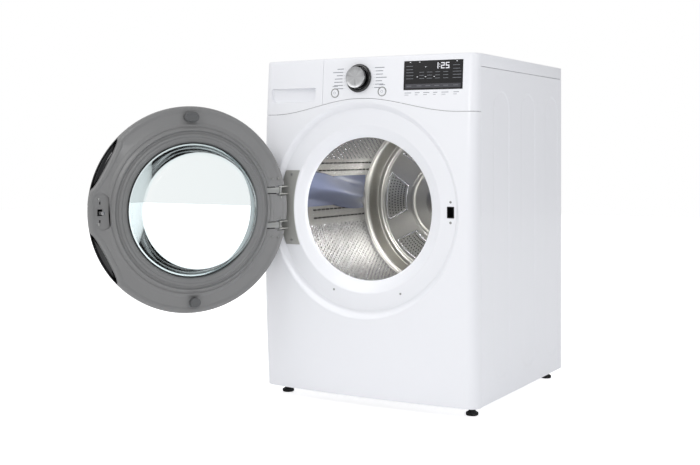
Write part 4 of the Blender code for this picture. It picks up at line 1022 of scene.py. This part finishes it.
# ---- drum ---------------------------------------------------------------------------------------
def drum():
    shape = bmesh.new()
    outer = 0.2870
    profile = rounded([(0.2600, -0.289), (0.2700, -0.289), (0.2780, -0.285), (outer, -0.277),
                       (outer, 0.210), (DRUM_IN_R, 0.210), (DRUM_IN_R, 0.150), (0.2845, 0.147),
                       (0.2845, 0.143), (DRUM_IN_R, 0.140), (DRUM_IN_R, -0.225), (0.2840, -0.229),
                       (0.2840, -0.233), (DRUM_IN_R, -0.237), (DRUM_IN_R, -0.276),
                       (0.2770, -0.2835), (0.2695, -0.2875), (0.2600, -0.2875)], 0.003)
    turn(shape, profile, ALONG_Y, ROUND)
    piece("drum_shell", shape, [STAINLESS], "drum", ["drum_shell"])

    bump = bmesh.new()
    turn(bump, [(0.0000, 0.0022), (0.0016, 0.0020), (0.0032, 0.0010), (0.0046, 0.0000),
                (0.0050, -0.0006), (0.0, -0.0008)], UPRIGHT, 10, closed=False)
    hole = bmesh.new()
    turn(hole, [(0.0, 0.0008), (0.0016, 0.0008), (0.0016, -0.0004), (0, -0.0004)], UPRIGHT, 8,
         closed=False)
    slit = bmesh.new()
    box(slit, (-0.0100, -0.0026, -0.0006), (0.0100, 0.0026, 0.0006), 0.0004)
    bumps, holes, slits = [], [], []
    pitch = 0.0125
    around = int(2 * math.pi * DRUM_IN_R / pitch)
    for step in range(around):
        for row in range(29):
            angle = 360.0 * (step + 0.5 * (row % 2)) / around
            near = min(abs((angle - lifter + 180) % 360 - 180) for lifter in LIFTER_ANGLES)
            if near < 10.5:
                continue
            y = -0.215 + pitch * row
            swing = math.radians(angle)
            inward = Vector((-math.cos(swing), 0, -math.sin(swing)))
            spot = Vector((0, y, AXIS_Z)) - inward * DRUM_IN_R
            if near < 21 and step % 2 and row % 2 == 0:
                if abs(y) < 0.17:
                    base = inward.to_track_quat("Z", "Y").to_matrix().to_4x4()
                    slits.append((Matrix.Translation(spot) @ base, 1.0))
            elif near >= 21:
                bumps.append((frame_at(spot, inward), 1.0))
                if row % 3 == 0:
                    holes.append((frame_at(spot + inward * 0.0018, inward), 1.0))
    repeat("drum_dimples", bump, bumps, STAINLESS, "drum", 50)
    repeat("drum_pinholes", hole, holes, HOLE_DARK, "drum")
    repeat("drum_slits", slit, slits, HOLE_DARK, "drum")

    shape = bmesh.new()
    rim = DRUM_IN_R - 0.0003
    face = [(0, 0.1800), (0.036, 0.1800), (0.046, 0.1830), (0.058, 0.1895), (0.066, 0.1925),
            (0.078, 0.1960), (0.118, 0.1960), (0.124, 0.1935), (0.130, 0.1935), (0.136, 0.1960),
            (0.236, 0.1960), (0.2405, 0.1905), (0.2440, 0.1880), (0.2500, 0.1880),
            (0.2530, 0.1905), (0.2570, 0.1905), (0.2600, 0.1840), (0.2650, 0.1700),
            (0.2690, 0.1560), (0.2735, 0.1500), (0.2780, 0.1500), (rim - 0.0020, 0.1440),
            (rim, 0.1420), (rim, 0.1450)]
    rear = [(0.2715, 0.1530), (0.2612, 0.1870), (0.2580, 0.1925), (0.2520, 0.1925),
            (0.2485, 0.1900), (0.2445, 0.1900), (0.2375, 0.1978), (0.0710, 0.1978),
            (0.0410, 0.1850), (0.0120, 0.1850), (0.0120, 0.2640), (0, 0.2640)]
    turn(shape, rounded(face + rear, 0.0018, closed=False), ALONG_Y, ROUND, closed=False)
    piece("drum_back", shape, [BACK_STEEL], "drum", ["drum_back"])

    # six pressed panels with rows of holes
    rims = bmesh.new()
    holes = []
    for index in range(6):
        centre = 176.0 + 60.0 * index
        inside, outside = 0.150, 0.228
        half_in, half_out = 16.0, 21.0
        loop = arc((0, 0), outside, centre - half_out, centre + half_out, 14)
        loop += arc((0, 0), inside, centre + half_in, centre - half_in, 8)
        smooth_loop = rounded(loop, 0.010)
        count = len(smooth_loop)
        middle = Vector((0.190 * math.cos(math.radians(centre)),
                         0.190 * math.sin(math.radians(centre))))
        rings = []
        for shrink, rise in ((0.0, 0.0002), (0.0012, -0.0012), (0.0030, -0.0018),
                             (0.0048, -0.0012), (0.0060, 0.0002)):
            ring = []
            for point in smooth_loop:
                here = Vector(point)
                here += (middle - here).normalized() * shrink
                ring.append(rims.verts.new((here.x, 0.1960 + rise, AXIS_Z + here.y)))
            rings.append(ring)
        for below, above in zip(rings, rings[1:] + rings[:1]):
            for step in range(count):
                after = (step + 1) % count
                rims.faces.new([below[step], below[after], above[after], above[step]])
        for row in range(6):
            reach = inside + 0.012 + (outside - inside - 0.024) * row / 5
            width = half_in + (half_out - half_in) * row / 5 - 3.2
            spots = 13
            for step in range(spots):
                swing = math.radians(centre - width + 2 * width * (step + 0.5 * (row % 2) - 0.25)
                                     / (spots - 1))
                holes.append((frame_at((reach * math.cos(swing), 0.1962,
                                        AXIS_Z + reach * math.sin(swing)), (0, -1, 0)), 1.35))
    piece("drum_back_rims", rims, [STAINLESS], "drum", angle=60)
    hole = bmesh.new()
    turn(hole, [(0.0, 0.0006), (0.0017, 0.0006), (0.0017, -0.0004), (0, -0.0004)], UPRIGHT, 10,
         closed=False)
    repeat("drum_back_holes", hole, holes, HOLE_DARK, "drum")
    for index, angle in enumerate(LIFTER_ANGLES):
        lifter("lifter_%d" % (index + 1), math.radians(angle))


def lifter(name, angle):
    """A smooth ridge that leans one way at the front and the other at the back."""
    shape = bmesh.new()
    base = DRUM_IN_R - 0.0016
    start, end = -0.262, 0.130
    long, wide = 56, 24

    def point(along, across, rise):
        run = max(math.cos(along * math.pi / 2), 0.0) ** 0.6
        height = 0.004 + 0.0555 * run * (1 - abs(across) ** 1.6) ** 1.2
        lean = 0.070 * math.sin(along * 1.9)
        swing = angle + across * 0.165 * (1 - 0.06 * rise) + lean * rise
        radius = base - height * rise
        y = start + (end - start) * (along + 1) / 2
        return Vector((radius * math.cos(swing), y, AXIS_Z + radius * math.sin(swing)))

    sheets = []
    for rise in (0.0, 1.0):
        sheets.append([[shape.verts.new(point(2 * a / long - 1, 2 * c / wide - 1, rise))
                        for c in range(wide + 1)] for a in range(long + 1)])
    for sheet in sheets:
        for a in range(long):
            for c in range(wide):
                shape.faces.new([sheet[a][c], sheet[a + 1][c], sheet[a + 1][c + 1],
                                 sheet[a][c + 1]])
    rim = [(a, 0) for a in range(long)] + [(long, c) for c in range(wide)]
    rim += [(a, wide) for a in range(long, 0, -1)] + [(0, c) for c in range(wide, 0, -1)]
    for here, after in zip(rim, rim[1:] + rim[:1]):
        shape.faces.new([sheets[0][here[0]][here[1]], sheets[0][after[0]][after[1]],
                         sheets[1][after[0]][after[1]], sheets[1][here[0]][here[1]]])
    piece(name, shape, [LIFTER], "drum", [name], angle=50)


def collar():
    """Ring behind the opening, with the lint screen standing in its slot."""
    shape = bmesh.new()
    profile = rounded([(OPENING_R + 0.0012, -0.3335), (OPENING_R + 0.0045, -0.3335),
                       (0.2160, -0.3262), (0.2175, -0.3275), (0.2200, -0.3260), (0.2205, -0.3235),
                       (0.2485, -0.3068), (0.2485, -0.2990), (0.2460, -0.2990), (0.2460, -0.3070),
                       (0.2190, -0.3228), (0.2060, -0.3305)], 0.0012)
    turn(shape, profile, ALONG_Y, ROUND)
    slot = bmesh.new()
    box(slot, (-0.108, -0.36, 0.25), (0.108, -0.3060, 0.40))
    show("front_collar", cut(to_mesh(shape), slot), [PALE], "cabinet",
         ["front_collar"])
    screen = bmesh.new()
    box(screen, (-0.100, -0.3305, 0.122), (0.100, -0.3092, 0.3150), 0.0015)
    window = bmesh.new()
    box(window, (-0.085, -0.34, 0.14), (0.085, -0.30, 0.285))
    made = bmesh.new()
    made.from_mesh(cut(to_mesh(screen), window))
    for x in (-0.0425, 0.0, 0.0425):
        box(made, (x - 0.0012, -0.3235, 0.139), (x + 0.0012, -0.3160, 0.286), 0.0004)
    for z in (0.176, 0.212, 0.248):
        box(made, (-0.0855, -0.3230, z - 0.0012), (0.0855, -0.3165, z + 0.0012), 0.0004)
    piece("lint_filter", made, [PALE], "lint_screen", ["lint_filter"])
    mesh_wire = bmesh.new()
    box(mesh_wire, (-0.0004, -0.0852, -0.0002), (0.0004, 0.0852, 0.0002))
    wires = []
    level = Matrix.Rotation(math.pi / 2, 4, "X")
    for step in range(48):
        x = -0.0846 + 0.0036 * step
        wires.append((Matrix.Translation((x, -0.3198, 0.2125)) @ level, 0.86))
    repeat("lint_mesh", mesh_wire, wires, ZINC, "lint_screen")


# ---- door ---------------------------------------------------------------------------------------
def bite(angle):
    """How far the finger scallops cut into the door's free edge at an angle from the latch side."""
    turned = abs(math.degrees(math.atan2(math.sin(angle), math.cos(angle))))
    share = (turned - 12.0) / 31.5
    return 0.0195 * math.sin(math.pi * share) ** 0.55 if 0 < share < 1 else 0.0


def scalloped(radius, height, angle):
    if radius < 0.2560:
        return radius, height
    return radius - bite(angle) * min((radius - 0.2560) / 0.020, 1.0), height


def door():
    edge = DOOR_R
    shape = bmesh.new()
    profile = rounded([
        (edge - 0.0005, -0.4003), (edge, -0.3960), (edge - 0.0012, -0.3900),
        (edge - 0.0050, -0.3866), (edge - 0.0110, -0.3858), (edge - 0.0180, -0.3868),
        (0.2450, -0.3842), (0.2400, -0.3800), (0.2375, -0.3785), (0.2345, -0.3785),
        (0.2325, -0.3800), (0.2300, -0.3770), (0.2260, -0.3722), (0.2225, -0.3712),
        (0.2205, -0.3740), (0.2185, -0.3758), (0.2150, -0.3758), (0.2130, -0.3735),
        (0.2110, -0.3706), (0.2060, -0.3701), (0.2030, -0.3715), (0.2000, -0.3702),
        (0.1915, -0.3701), (0.1878, -0.3730), (0.1875, -0.3765), (0.2235, -0.3766),
        (0.2300, -0.3825), (0.2380, -0.3885), (edge - 0.0175, -0.3893), (edge - 0.0070, -0.3890),
        (edge - 0.0040, -0.3930), (edge - 0.0035, -0.4003)], 0.0016)
    turn(shape, profile, DOOR_AXLE, 2 * ROUND, warp=scalloped)
    tools = []
    for z in (HINGE_OFFSET_Z, -HINGE_OFFSET_Z):
        middle = AXIS_Z + z
        for low, high in (((-0.302, -0.42, middle - 0.0155), (-0.250, -0.37, middle + 0.0155)),
                          ((-0.252, -0.42, middle - 0.0105), (-0.214, -0.37, middle + 0.0105))):
            tool = bmesh.new()
            box(tool, low, high)
            tools.append(tool)
    tool = bmesh.new()
    box(tool, (LATCH_X - 0.0085, -0.41, LATCH_Z - 0.009), (LATCH_X + 0.0050, -0.37,
                                                          LATCH_Z + 0.009))
    tools.append(tool)
    tool = bmesh.new()
    loop = arc((0.264, 0.558), 0.024, 10, 150, 12) + arc((0.258, 0.504), 0.022, 210, 350, 12)
    prism(tool, loop, 0.370, 0.3874, FACING)
    tools.append(tool)
    for z in (0.556, 0.506):
        tool = bmesh.new()
        box(tool, (0.2655, -0.41, z - 0.004), (0.2690, -0.37, z + 0.004))
        tools.append(tool)
    made = cut(to_mesh(shape), *tools)
    made.transform(DOOR_SWING)
    show("door_inner_frame", made, [DOOR_GREY], "door", ["door_inner_frame"])

    shape = bmesh.new()
    turn(shape, rounded([
        (edge, -0.4008), (edge - 0.001, -0.4070), (edge - 0.010, -0.4170), (0.2680, -0.4260),
        (0.2520, -0.4360), (0.2350, -0.4450), (0.2050, -0.4500), (0.2000, -0.4500),
        (0.2000, -0.4465), (0.2045, -0.4465), (0.2335, -0.4415), (0.2495, -0.4330),
        (0.2600, -0.4230), (0.2620, -0.4060), (0.2680, -0.4030), (0.2740, -0.4052),
        (edge - 0.0060, -0.4052), (edge - 0.0030, -0.4008)], 0.0022), DOOR_AXLE, ROUND)
    notches = []
    for z in (HINGE_OFFSET_Z, -HINGE_OFFSET_Z):
        tool = bmesh.new()
        box(tool, (-0.302, -0.4225, AXIS_Z + z - 0.0155), (-0.249, -0.39, AXIS_Z + z + 0.0155))
        notches.append(tool)
    made = cut(to_mesh(shape), *notches)
    made.transform(DOOR_SWING)
    show("door_outer_cover", made, [GLOSS_BLACK], "door", ["door_outer_cover"])

    shape = bmesh.new()
    turn(shape, rounded([(0, -0.4525), (0.120, -0.4518), (0.1996, -0.4498), (0.1996, -0.4468),
                         (0.120, -0.4486), (0, -0.4492)], 0.0008, closed=False), DOOR_AXLE, ROUND,
         closed=False)
    piece("door_window", shape, [WINDOW], "door", ["door_window"], DOOR_SWING)
    shape = bmesh.new()
    turn(shape, rounded([
        (0, -0.3030), (0.1500, -0.3030), (0.1610, -0.3070), (0.1665, -0.3150), (0.1850, -0.3700),
        (0.1850, -0.3770), (0.2200, -0.3770), (0.2200, -0.3805), (0.1812, -0.3805),
        (0.1625, -0.3170), (0.1580, -0.3105), (0.1490, -0.3070), (0, -0.3070)], 0.004,
        closed=False), DOOR_AXLE, ROUND, closed=False)
    piece("door_glass_bowl", shape, [CLEAR], "door", ["door_glass_bowl"], DOOR_SWING)

    shape = bmesh.new()
    turn(shape, [(0.1862, -0.3815), (0.1985, -0.4440), (0.1994, -0.4440), (0.1872, -0.3815)],
         DOOR_AXLE, ROUND)
    piece("door_liner", shape, [LINER], "door", (), DOOR_SWING)

    # rubber ring round the glass
    shape = bmesh.new()
    turn(shape, rounded([(0.1852, -0.3745), (0.1878, -0.3745), (0.1878, -0.3712), (0.1862, -0.3703),
                         (0.1852, -0.3710)], 0.0006), DOOR_AXLE, ROUND)
    piece("glass_gasket", shape, [RUBBER], "door", (), DOOR_SWING)

    for name, shift, offset, half, radius in (("door_pad_upper", 0.005, 0.260, 0.008, 0.0135),
                                              ("door_pad_lower", -0.005, -0.2605, 0.0, 0.0150)):
        shape = bmesh.new()
        loop = arc((half, 0), radius, -90, 90, 16) + arc((-half, 0), radius, 90, 270, 16)
        low = 0.3715 if half else 0.3700
        move = Matrix.Translation((DOOR_X + shift, 0, AXIS_Z + offset)) @ FACING
        rings = []
        levels = ((0.0, 0.3835), (0.0, low + 0.0030), (0.0008, low + 0.0010), (0.0026, low),
                  (0.0050, low), (0.0060, low + 0.0008), (0.0070, low + 0.0008))
        for shrink, height in levels:
            scale = (radius - shrink) / radius
            ring = []
            for x, y in loop:
                centre = math.copysign(half, x) if half else 0.0
                ring.append(shape.verts.new(move @ Vector((centre + (x - centre) * scale,
                                                           y * scale, height))))
            rings.append(ring)
        count = len(loop)
        for below, above in zip(rings, rings[1:]):
            for index in range(count):
                after = (index + 1) % count
                shape.faces.new([below[index], below[after], above[after], above[index]])
        shape.faces.new(rings[0])
        shape.faces.new(rings[-1])
        bmesh.ops.remove_doubles(shape, verts=shape.verts, dist=0.00001)
        piece(name, shape, [PAD_GREY], "door", [name], DOOR_SWING)

    for word, z in (("upper", HINGE_OFFSET_Z), ("lower", -HINGE_OFFSET_Z)):
        shape = bmesh.new()
        move = Matrix.Translation((HINGE.x, HINGE.y, AXIS_Z + z))
        turn(shape, rounded([(0.00315, -0.0080), (0.0060, -0.0080), (0.0060, 0.0080),
                             (0.00315, 0.0080)], 0.0006), move, 32)
        box(shape, (HINGE.x + 0.0045, HINGE.y - 0.0038, AXIS_Z + z - 0.0080),
            (HINGE.x + 0.044, HINGE.y + 0.0038, AXIS_Z + z + 0.0080), 0.0008)
        piece("hinge_arm_" + word, shape, [ZINC], "door", ["hinge_arm_" + word],
              DOOR_SWING)

    shape = bmesh.new()
    tip = 0.0475
    hook = [(-0.0030, -0.0040), (0.0030, -0.0040), (0.0030, tip - 0.006), (0.0010, tip),
            (-0.0060, tip - 0.004), (-0.0060, tip - 0.007), (-0.0025, tip - 0.008),
            (-0.0030, 0.0100)]
    prism(shape, rounded(hook, 0.0012), -0.0040, 0.0040,
          Matrix.Translation((LATCH_X, -0.3930, LATCH_Z)), 0, 0.0005)
    piece("latch_hook", shape, [STAINLESS], "door_latch", ["latch_hook"], DOOR_SWING)

    back = (0, 1, 0)
    spots = [((0.2705, -0.3880, 0.5660), back, 1.0), ((0.2705, -0.3880, 0.4980), back, 1.0)]
    spots += [((-0.233, -0.3800, 0.532 + sign * 0.084), back, 0.62) for sign in (-1, 1)]
    spots += [((-0.253, -0.3850, 0.532 + sign * 0.085), back, 0.75) for sign in (-1, 1)]
    spots += [((-0.2615, -0.3855, 0.532 + sign * 0.030), back, 0.75) for sign in (-1, 1)]
    screws("door_screws", spots, ZINC, "door", DOOR_SWING)
    sockets = bmesh.new()
    for (x, y, z), _, _ in spots[:2]:
        turn(sockets, [(0.0042, y - 0.0005), (0.0056, y - 0.0005), (0.0056, y + 0.0004),
                       (0.0042, y + 0.0004)],
             Matrix(((1, 0, 0, x), (0, 0, 1, 0), (0, 1, 0, z), (0, 0, 0, 1))), 24)
    piece("latch_screw_wells", sockets, [PAD_GREY], "door", (), DOOR_SWING)


def hinge_and_catch():
    outer = arc((0, AXIS_Z), 0.2835, 157.5, 202.5, 40)
    inner = arc((0.060, AXIS_Z), 0.2960, 201.5, 158.5, 40)
    shape = bmesh.new()
    prism(shape, outer + inner, -RECESS_Y + 0.0006, -RECESS_Y + 0.0029, FACING, 0, 0.0007)
    for z in (HINGE_OFFSET_Z, -HINGE_OFFSET_Z):
        for side in (-1, 1):
            middle = AXIS_Z + z + side * 0.0105
            loop = arc((0, 0), 0.0060, 180, 360, 16) + [(0.0060, 0.0330), (-0.0060, 0.0330)]
            prism(shape, loop, -0.0017, 0.0017, Matrix.Translation((HINGE.x, HINGE.y, middle)), 0,
                  0.0005)
        tube(shape, (HINGE.x, HINGE.y, AXIS_Z + z - 0.0120), (HINGE.x, HINGE.y,
                                                              AXIS_Z + z + 0.0120), 0.0029, 24)
    piece("hinge_bracket", shape, [CAST], "cabinet", ["hinge_bracket"])
    screws("hinge_screws", [((-0.2425, RECESS_Y - 0.0028, 0.532 + sign * 0.0965), (0, -1, 0), 1.1)
                            for sign in (-1, 1)], ZINC, "cabinet")
    screws("recess_screws", [((x, RECESS_Y + 0.0006, z), (0, -1, 0), 0.8) for x, z in
                             ((-0.0995, 0.2995), (0.116, 0.300))], ZINC, "cabinet")
    shape = bmesh.new()
    low = Vector((LATCH_X - 0.0102, -0.3575, LATCH_Z - 0.0152))
    high = Vector((LATCH_X + 0.0102, -0.3250, LATCH_Z + 0.0152))
    box(shape, low, high, 0.0006)
    hollow = bmesh.new()
    box(hollow, low + Vector((0.0016, -0.01, 0.0016)), high - Vector((0.0016, 0.0016, 0.0016)))
    show("latch_catch", cut(to_mesh(shape), hollow), [BLACK], "cabinet",
         ["latch_catch"])
    screws("catch_screws", [((LATCH_X, RECESS_Y + 0.0008, LATCH_Z + sign * 0.0280), (0, -1, 0),
                             0.9) for sign in (-1, 1)], ZINC, "cabinet")


# ---- feet and what stands inside ----------------------------------------------------------------
def feet():
    for front, row in ((-1, "front"), (1, "rear")):
        for side, word in ((-1, "left"), (1, "right")):
            shape = bmesh.new()
            place = Matrix.Translation((side * FOOT_X, front * FOOT_Y, 0))
            turn(shape, rounded([(0, -0.0280), (0.0155, -0.0280), (0.0175, -0.0260),
                                 (0.0175, -0.0200), (0.0100, -0.0160), (0.0100, -0.0060),
                                 (0.0050, -0.0055), (0.0050, 0.0300), (0, 0.0300)], 0.0008,
                                closed=False), place, 40, closed=False)
            for thread in range(8):
                z = -0.004 + thread * 0.0040
                turn(shape, [(0.0046, z - 0.0014), (0.0058, z), (0.0046, z + 0.0014)], place, 24)
            piece("foot_%s_%s" % (row, word), shape, [RUBBER], "leg_%s_%s" % (row, word),
                  ["foot_%s_%s" % (row, word)])


def insides():
    """The CAD nodes that show only when something is opened keep their own shape."""
    paints = {
        "base_pan": ENAMEL, "front_bulkhead": ZINC, "rear_bulkhead": ZINC, "rear_bearing": ZINC,
        "drum_front_seal": FELT, "drum_belt": RUBBER, "front_roller_left": RUBBER,
        "front_roller_right": RUBBER, "motor_mount": ZINC, "motor_stator": BLACK_ENAMEL,
        "motor_rotor": ZINC, "blower_wheel": DOOR_GREY, "blower_housing": PALE, "idler_arm": ZINC,
        "idler_pulley": BLACK, "compressor": BLACK_ENAMEL, "evaporator_coil": ALUMINIUM,
        "condenser_coil": ALUMINIUM, "drain_pump": BLACK, "lint_duct": PALE, "water_tank": PALE,
        "tank_lid": PALE, "tank_guide": PALE, "control_board": BOARD}
    for name, paint in paints.items():
        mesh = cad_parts[name].data
        if not mesh.materials:
            mesh.materials.append(paint)
        for index in range(len(mesh.materials)):
            mesh.materials[index] = paint


# ---- stage, light and camera --------------------------------------------------------------------
def stage():
    shape = bmesh.new()
    grid(shape, [-9.0, -3.0, 0.0, 3.0, 9.0], [-9.0, -3.0, 0.0, 3.0, 9.0],
         lambda x, y: Vector((x, y, -0.0282)))
    mesh = to_mesh(shape)
    floor_paint = bpy.data.materials.new("studio_floor")
    floor_paint.use_nodes = True
    tree = floor_paint.node_tree
    shader = tree.nodes["Principled BSDF"]
    shader.inputs["Base Color"].default_value = colour("FCFCFD")
    shader.inputs["Roughness"].default_value = 0.8
    shader.inputs["Emission Color"].default_value = colour("FFFFFF")
    path = node(tree, "ShaderNodeLightPath")
    glow = node(tree, "ShaderNodeMath", {0: path.outputs["Is Camera Ray"], 1: 0.60, 2: 0.12},
                operation="MULTIPLY_ADD")
    tree.links.new(glow.outputs["Value"], shader.inputs["Emission Strength"])
    mesh.materials.append(floor_paint)
    floor = bpy.data.objects.new("studio_floor", mesh)
    bpy.context.scene.collection.objects.link(floor)

    world = bpy.data.worlds.new("studio")
    bpy.context.scene.world = world
    world.use_nodes = True
    tree = world.node_tree
    tree.nodes.clear()
    where = node(tree, "ShaderNodeTexCoord")
    split = node(tree, "ShaderNodeSeparateXYZ", {"Vector": where.outputs["Generated"]})
    band = node(tree, "ShaderNodeValToRGB", {"Fac": split.outputs["X"]})
    ramp = band.color_ramp
    ramp.elements[0].position = 0.0
    ramp.elements[0].color = colour("FFFFFF")
    ramp.elements[1].position = 1.0
    ramp.elements[1].color = colour("D0D2D6")
    path = node(tree, "ShaderNodeLightPath")
    seen = node(tree, "ShaderNodeBackground", {"Color": colour("FFFFFF"), "Strength": 1.0})
    above = node(tree, "ShaderNodeMath", {0: split.outputs["Z"], 1: 0.34, 2: 0.56},
                 operation="MULTIPLY_ADD")
    lit = node(tree, "ShaderNodeBackground", {"Color": band.outputs["Color"],
                                              "Strength": above.outputs["Value"]})
    both = node(tree, "ShaderNodeMixShader", {0: path.outputs["Is Camera Ray"],
                                              1: lit.outputs["Background"],
                                              2: seen.outputs["Background"]})
    out = node(tree, "ShaderNodeOutputWorld")
    tree.links.new(both.outputs["Shader"], out.inputs["Surface"])

    def lamp(name, place, target, size, power):
        light = bpy.data.lights.new(name, "AREA")
        light.shape = "RECTANGLE"
        light.size, light.size_y = size
        light.energy = power
        holder = bpy.data.objects.new(name, light)
        holder.location = place
        holder.rotation_euler = (Vector(target) - Vector(place)).to_track_quat("-Z",
                                                                              "Y").to_euler()
        holder.visible_camera = False
        bpy.context.scene.collection.objects.link(holder)

    # name, place, aim, width and height, watts
    lamp("key_light", (-1.2, -2.6, 2.4), (0, 0, 0.5), (1.6, 1.2), 16)
    lamp("side_light", (3.0, -0.6, 1.6), (0.3, 0, 0.5), (1.2, 1.6), 7)
    lamp("drum_light", (0.9, -1.6, 1.1), (-0.1, 0.0, 0.5), (0.25, 0.5), 3)
    # two small lamps behind the front panel that light the inside of the drum
    lamp("drum_lamp", (0.06, -0.275, 0.765), (-0.08, 0.12, 0.40), (0.20, 0.03), 1.9)
    lamp("drum_lamp_low", (0.10, -0.275, 0.335), (-0.05, 0.15, 0.60), (0.12, 0.03), 0.7)

    data = bpy.data.cameras.new("camera")
    camera = bpy.data.objects.new("camera", data)
    bpy.context.scene.collection.objects.link(camera)
    camera.location = (1.532, -3.053, 0.694)
    camera.rotation_euler = (math.radians(90), 0, math.radians(30.07))
    data.lens = 56.37
    data.sensor_width = 36.0
    data.shift_x = -0.0074
    data.shift_y = -0.115
    bpy.context.scene.camera = camera
    bpy.context.scene.view_settings.view_transform = "Standard"


front_panel()
control_panel()
drawer_front()
emboss_side("left_side_panel", -1)
emboss_side("right_side_panel", 1)
top_and_back()
controls()
display()
labels()
drum()
collar()
door()
hinge_and_catch()
feet()
insides()
stage()
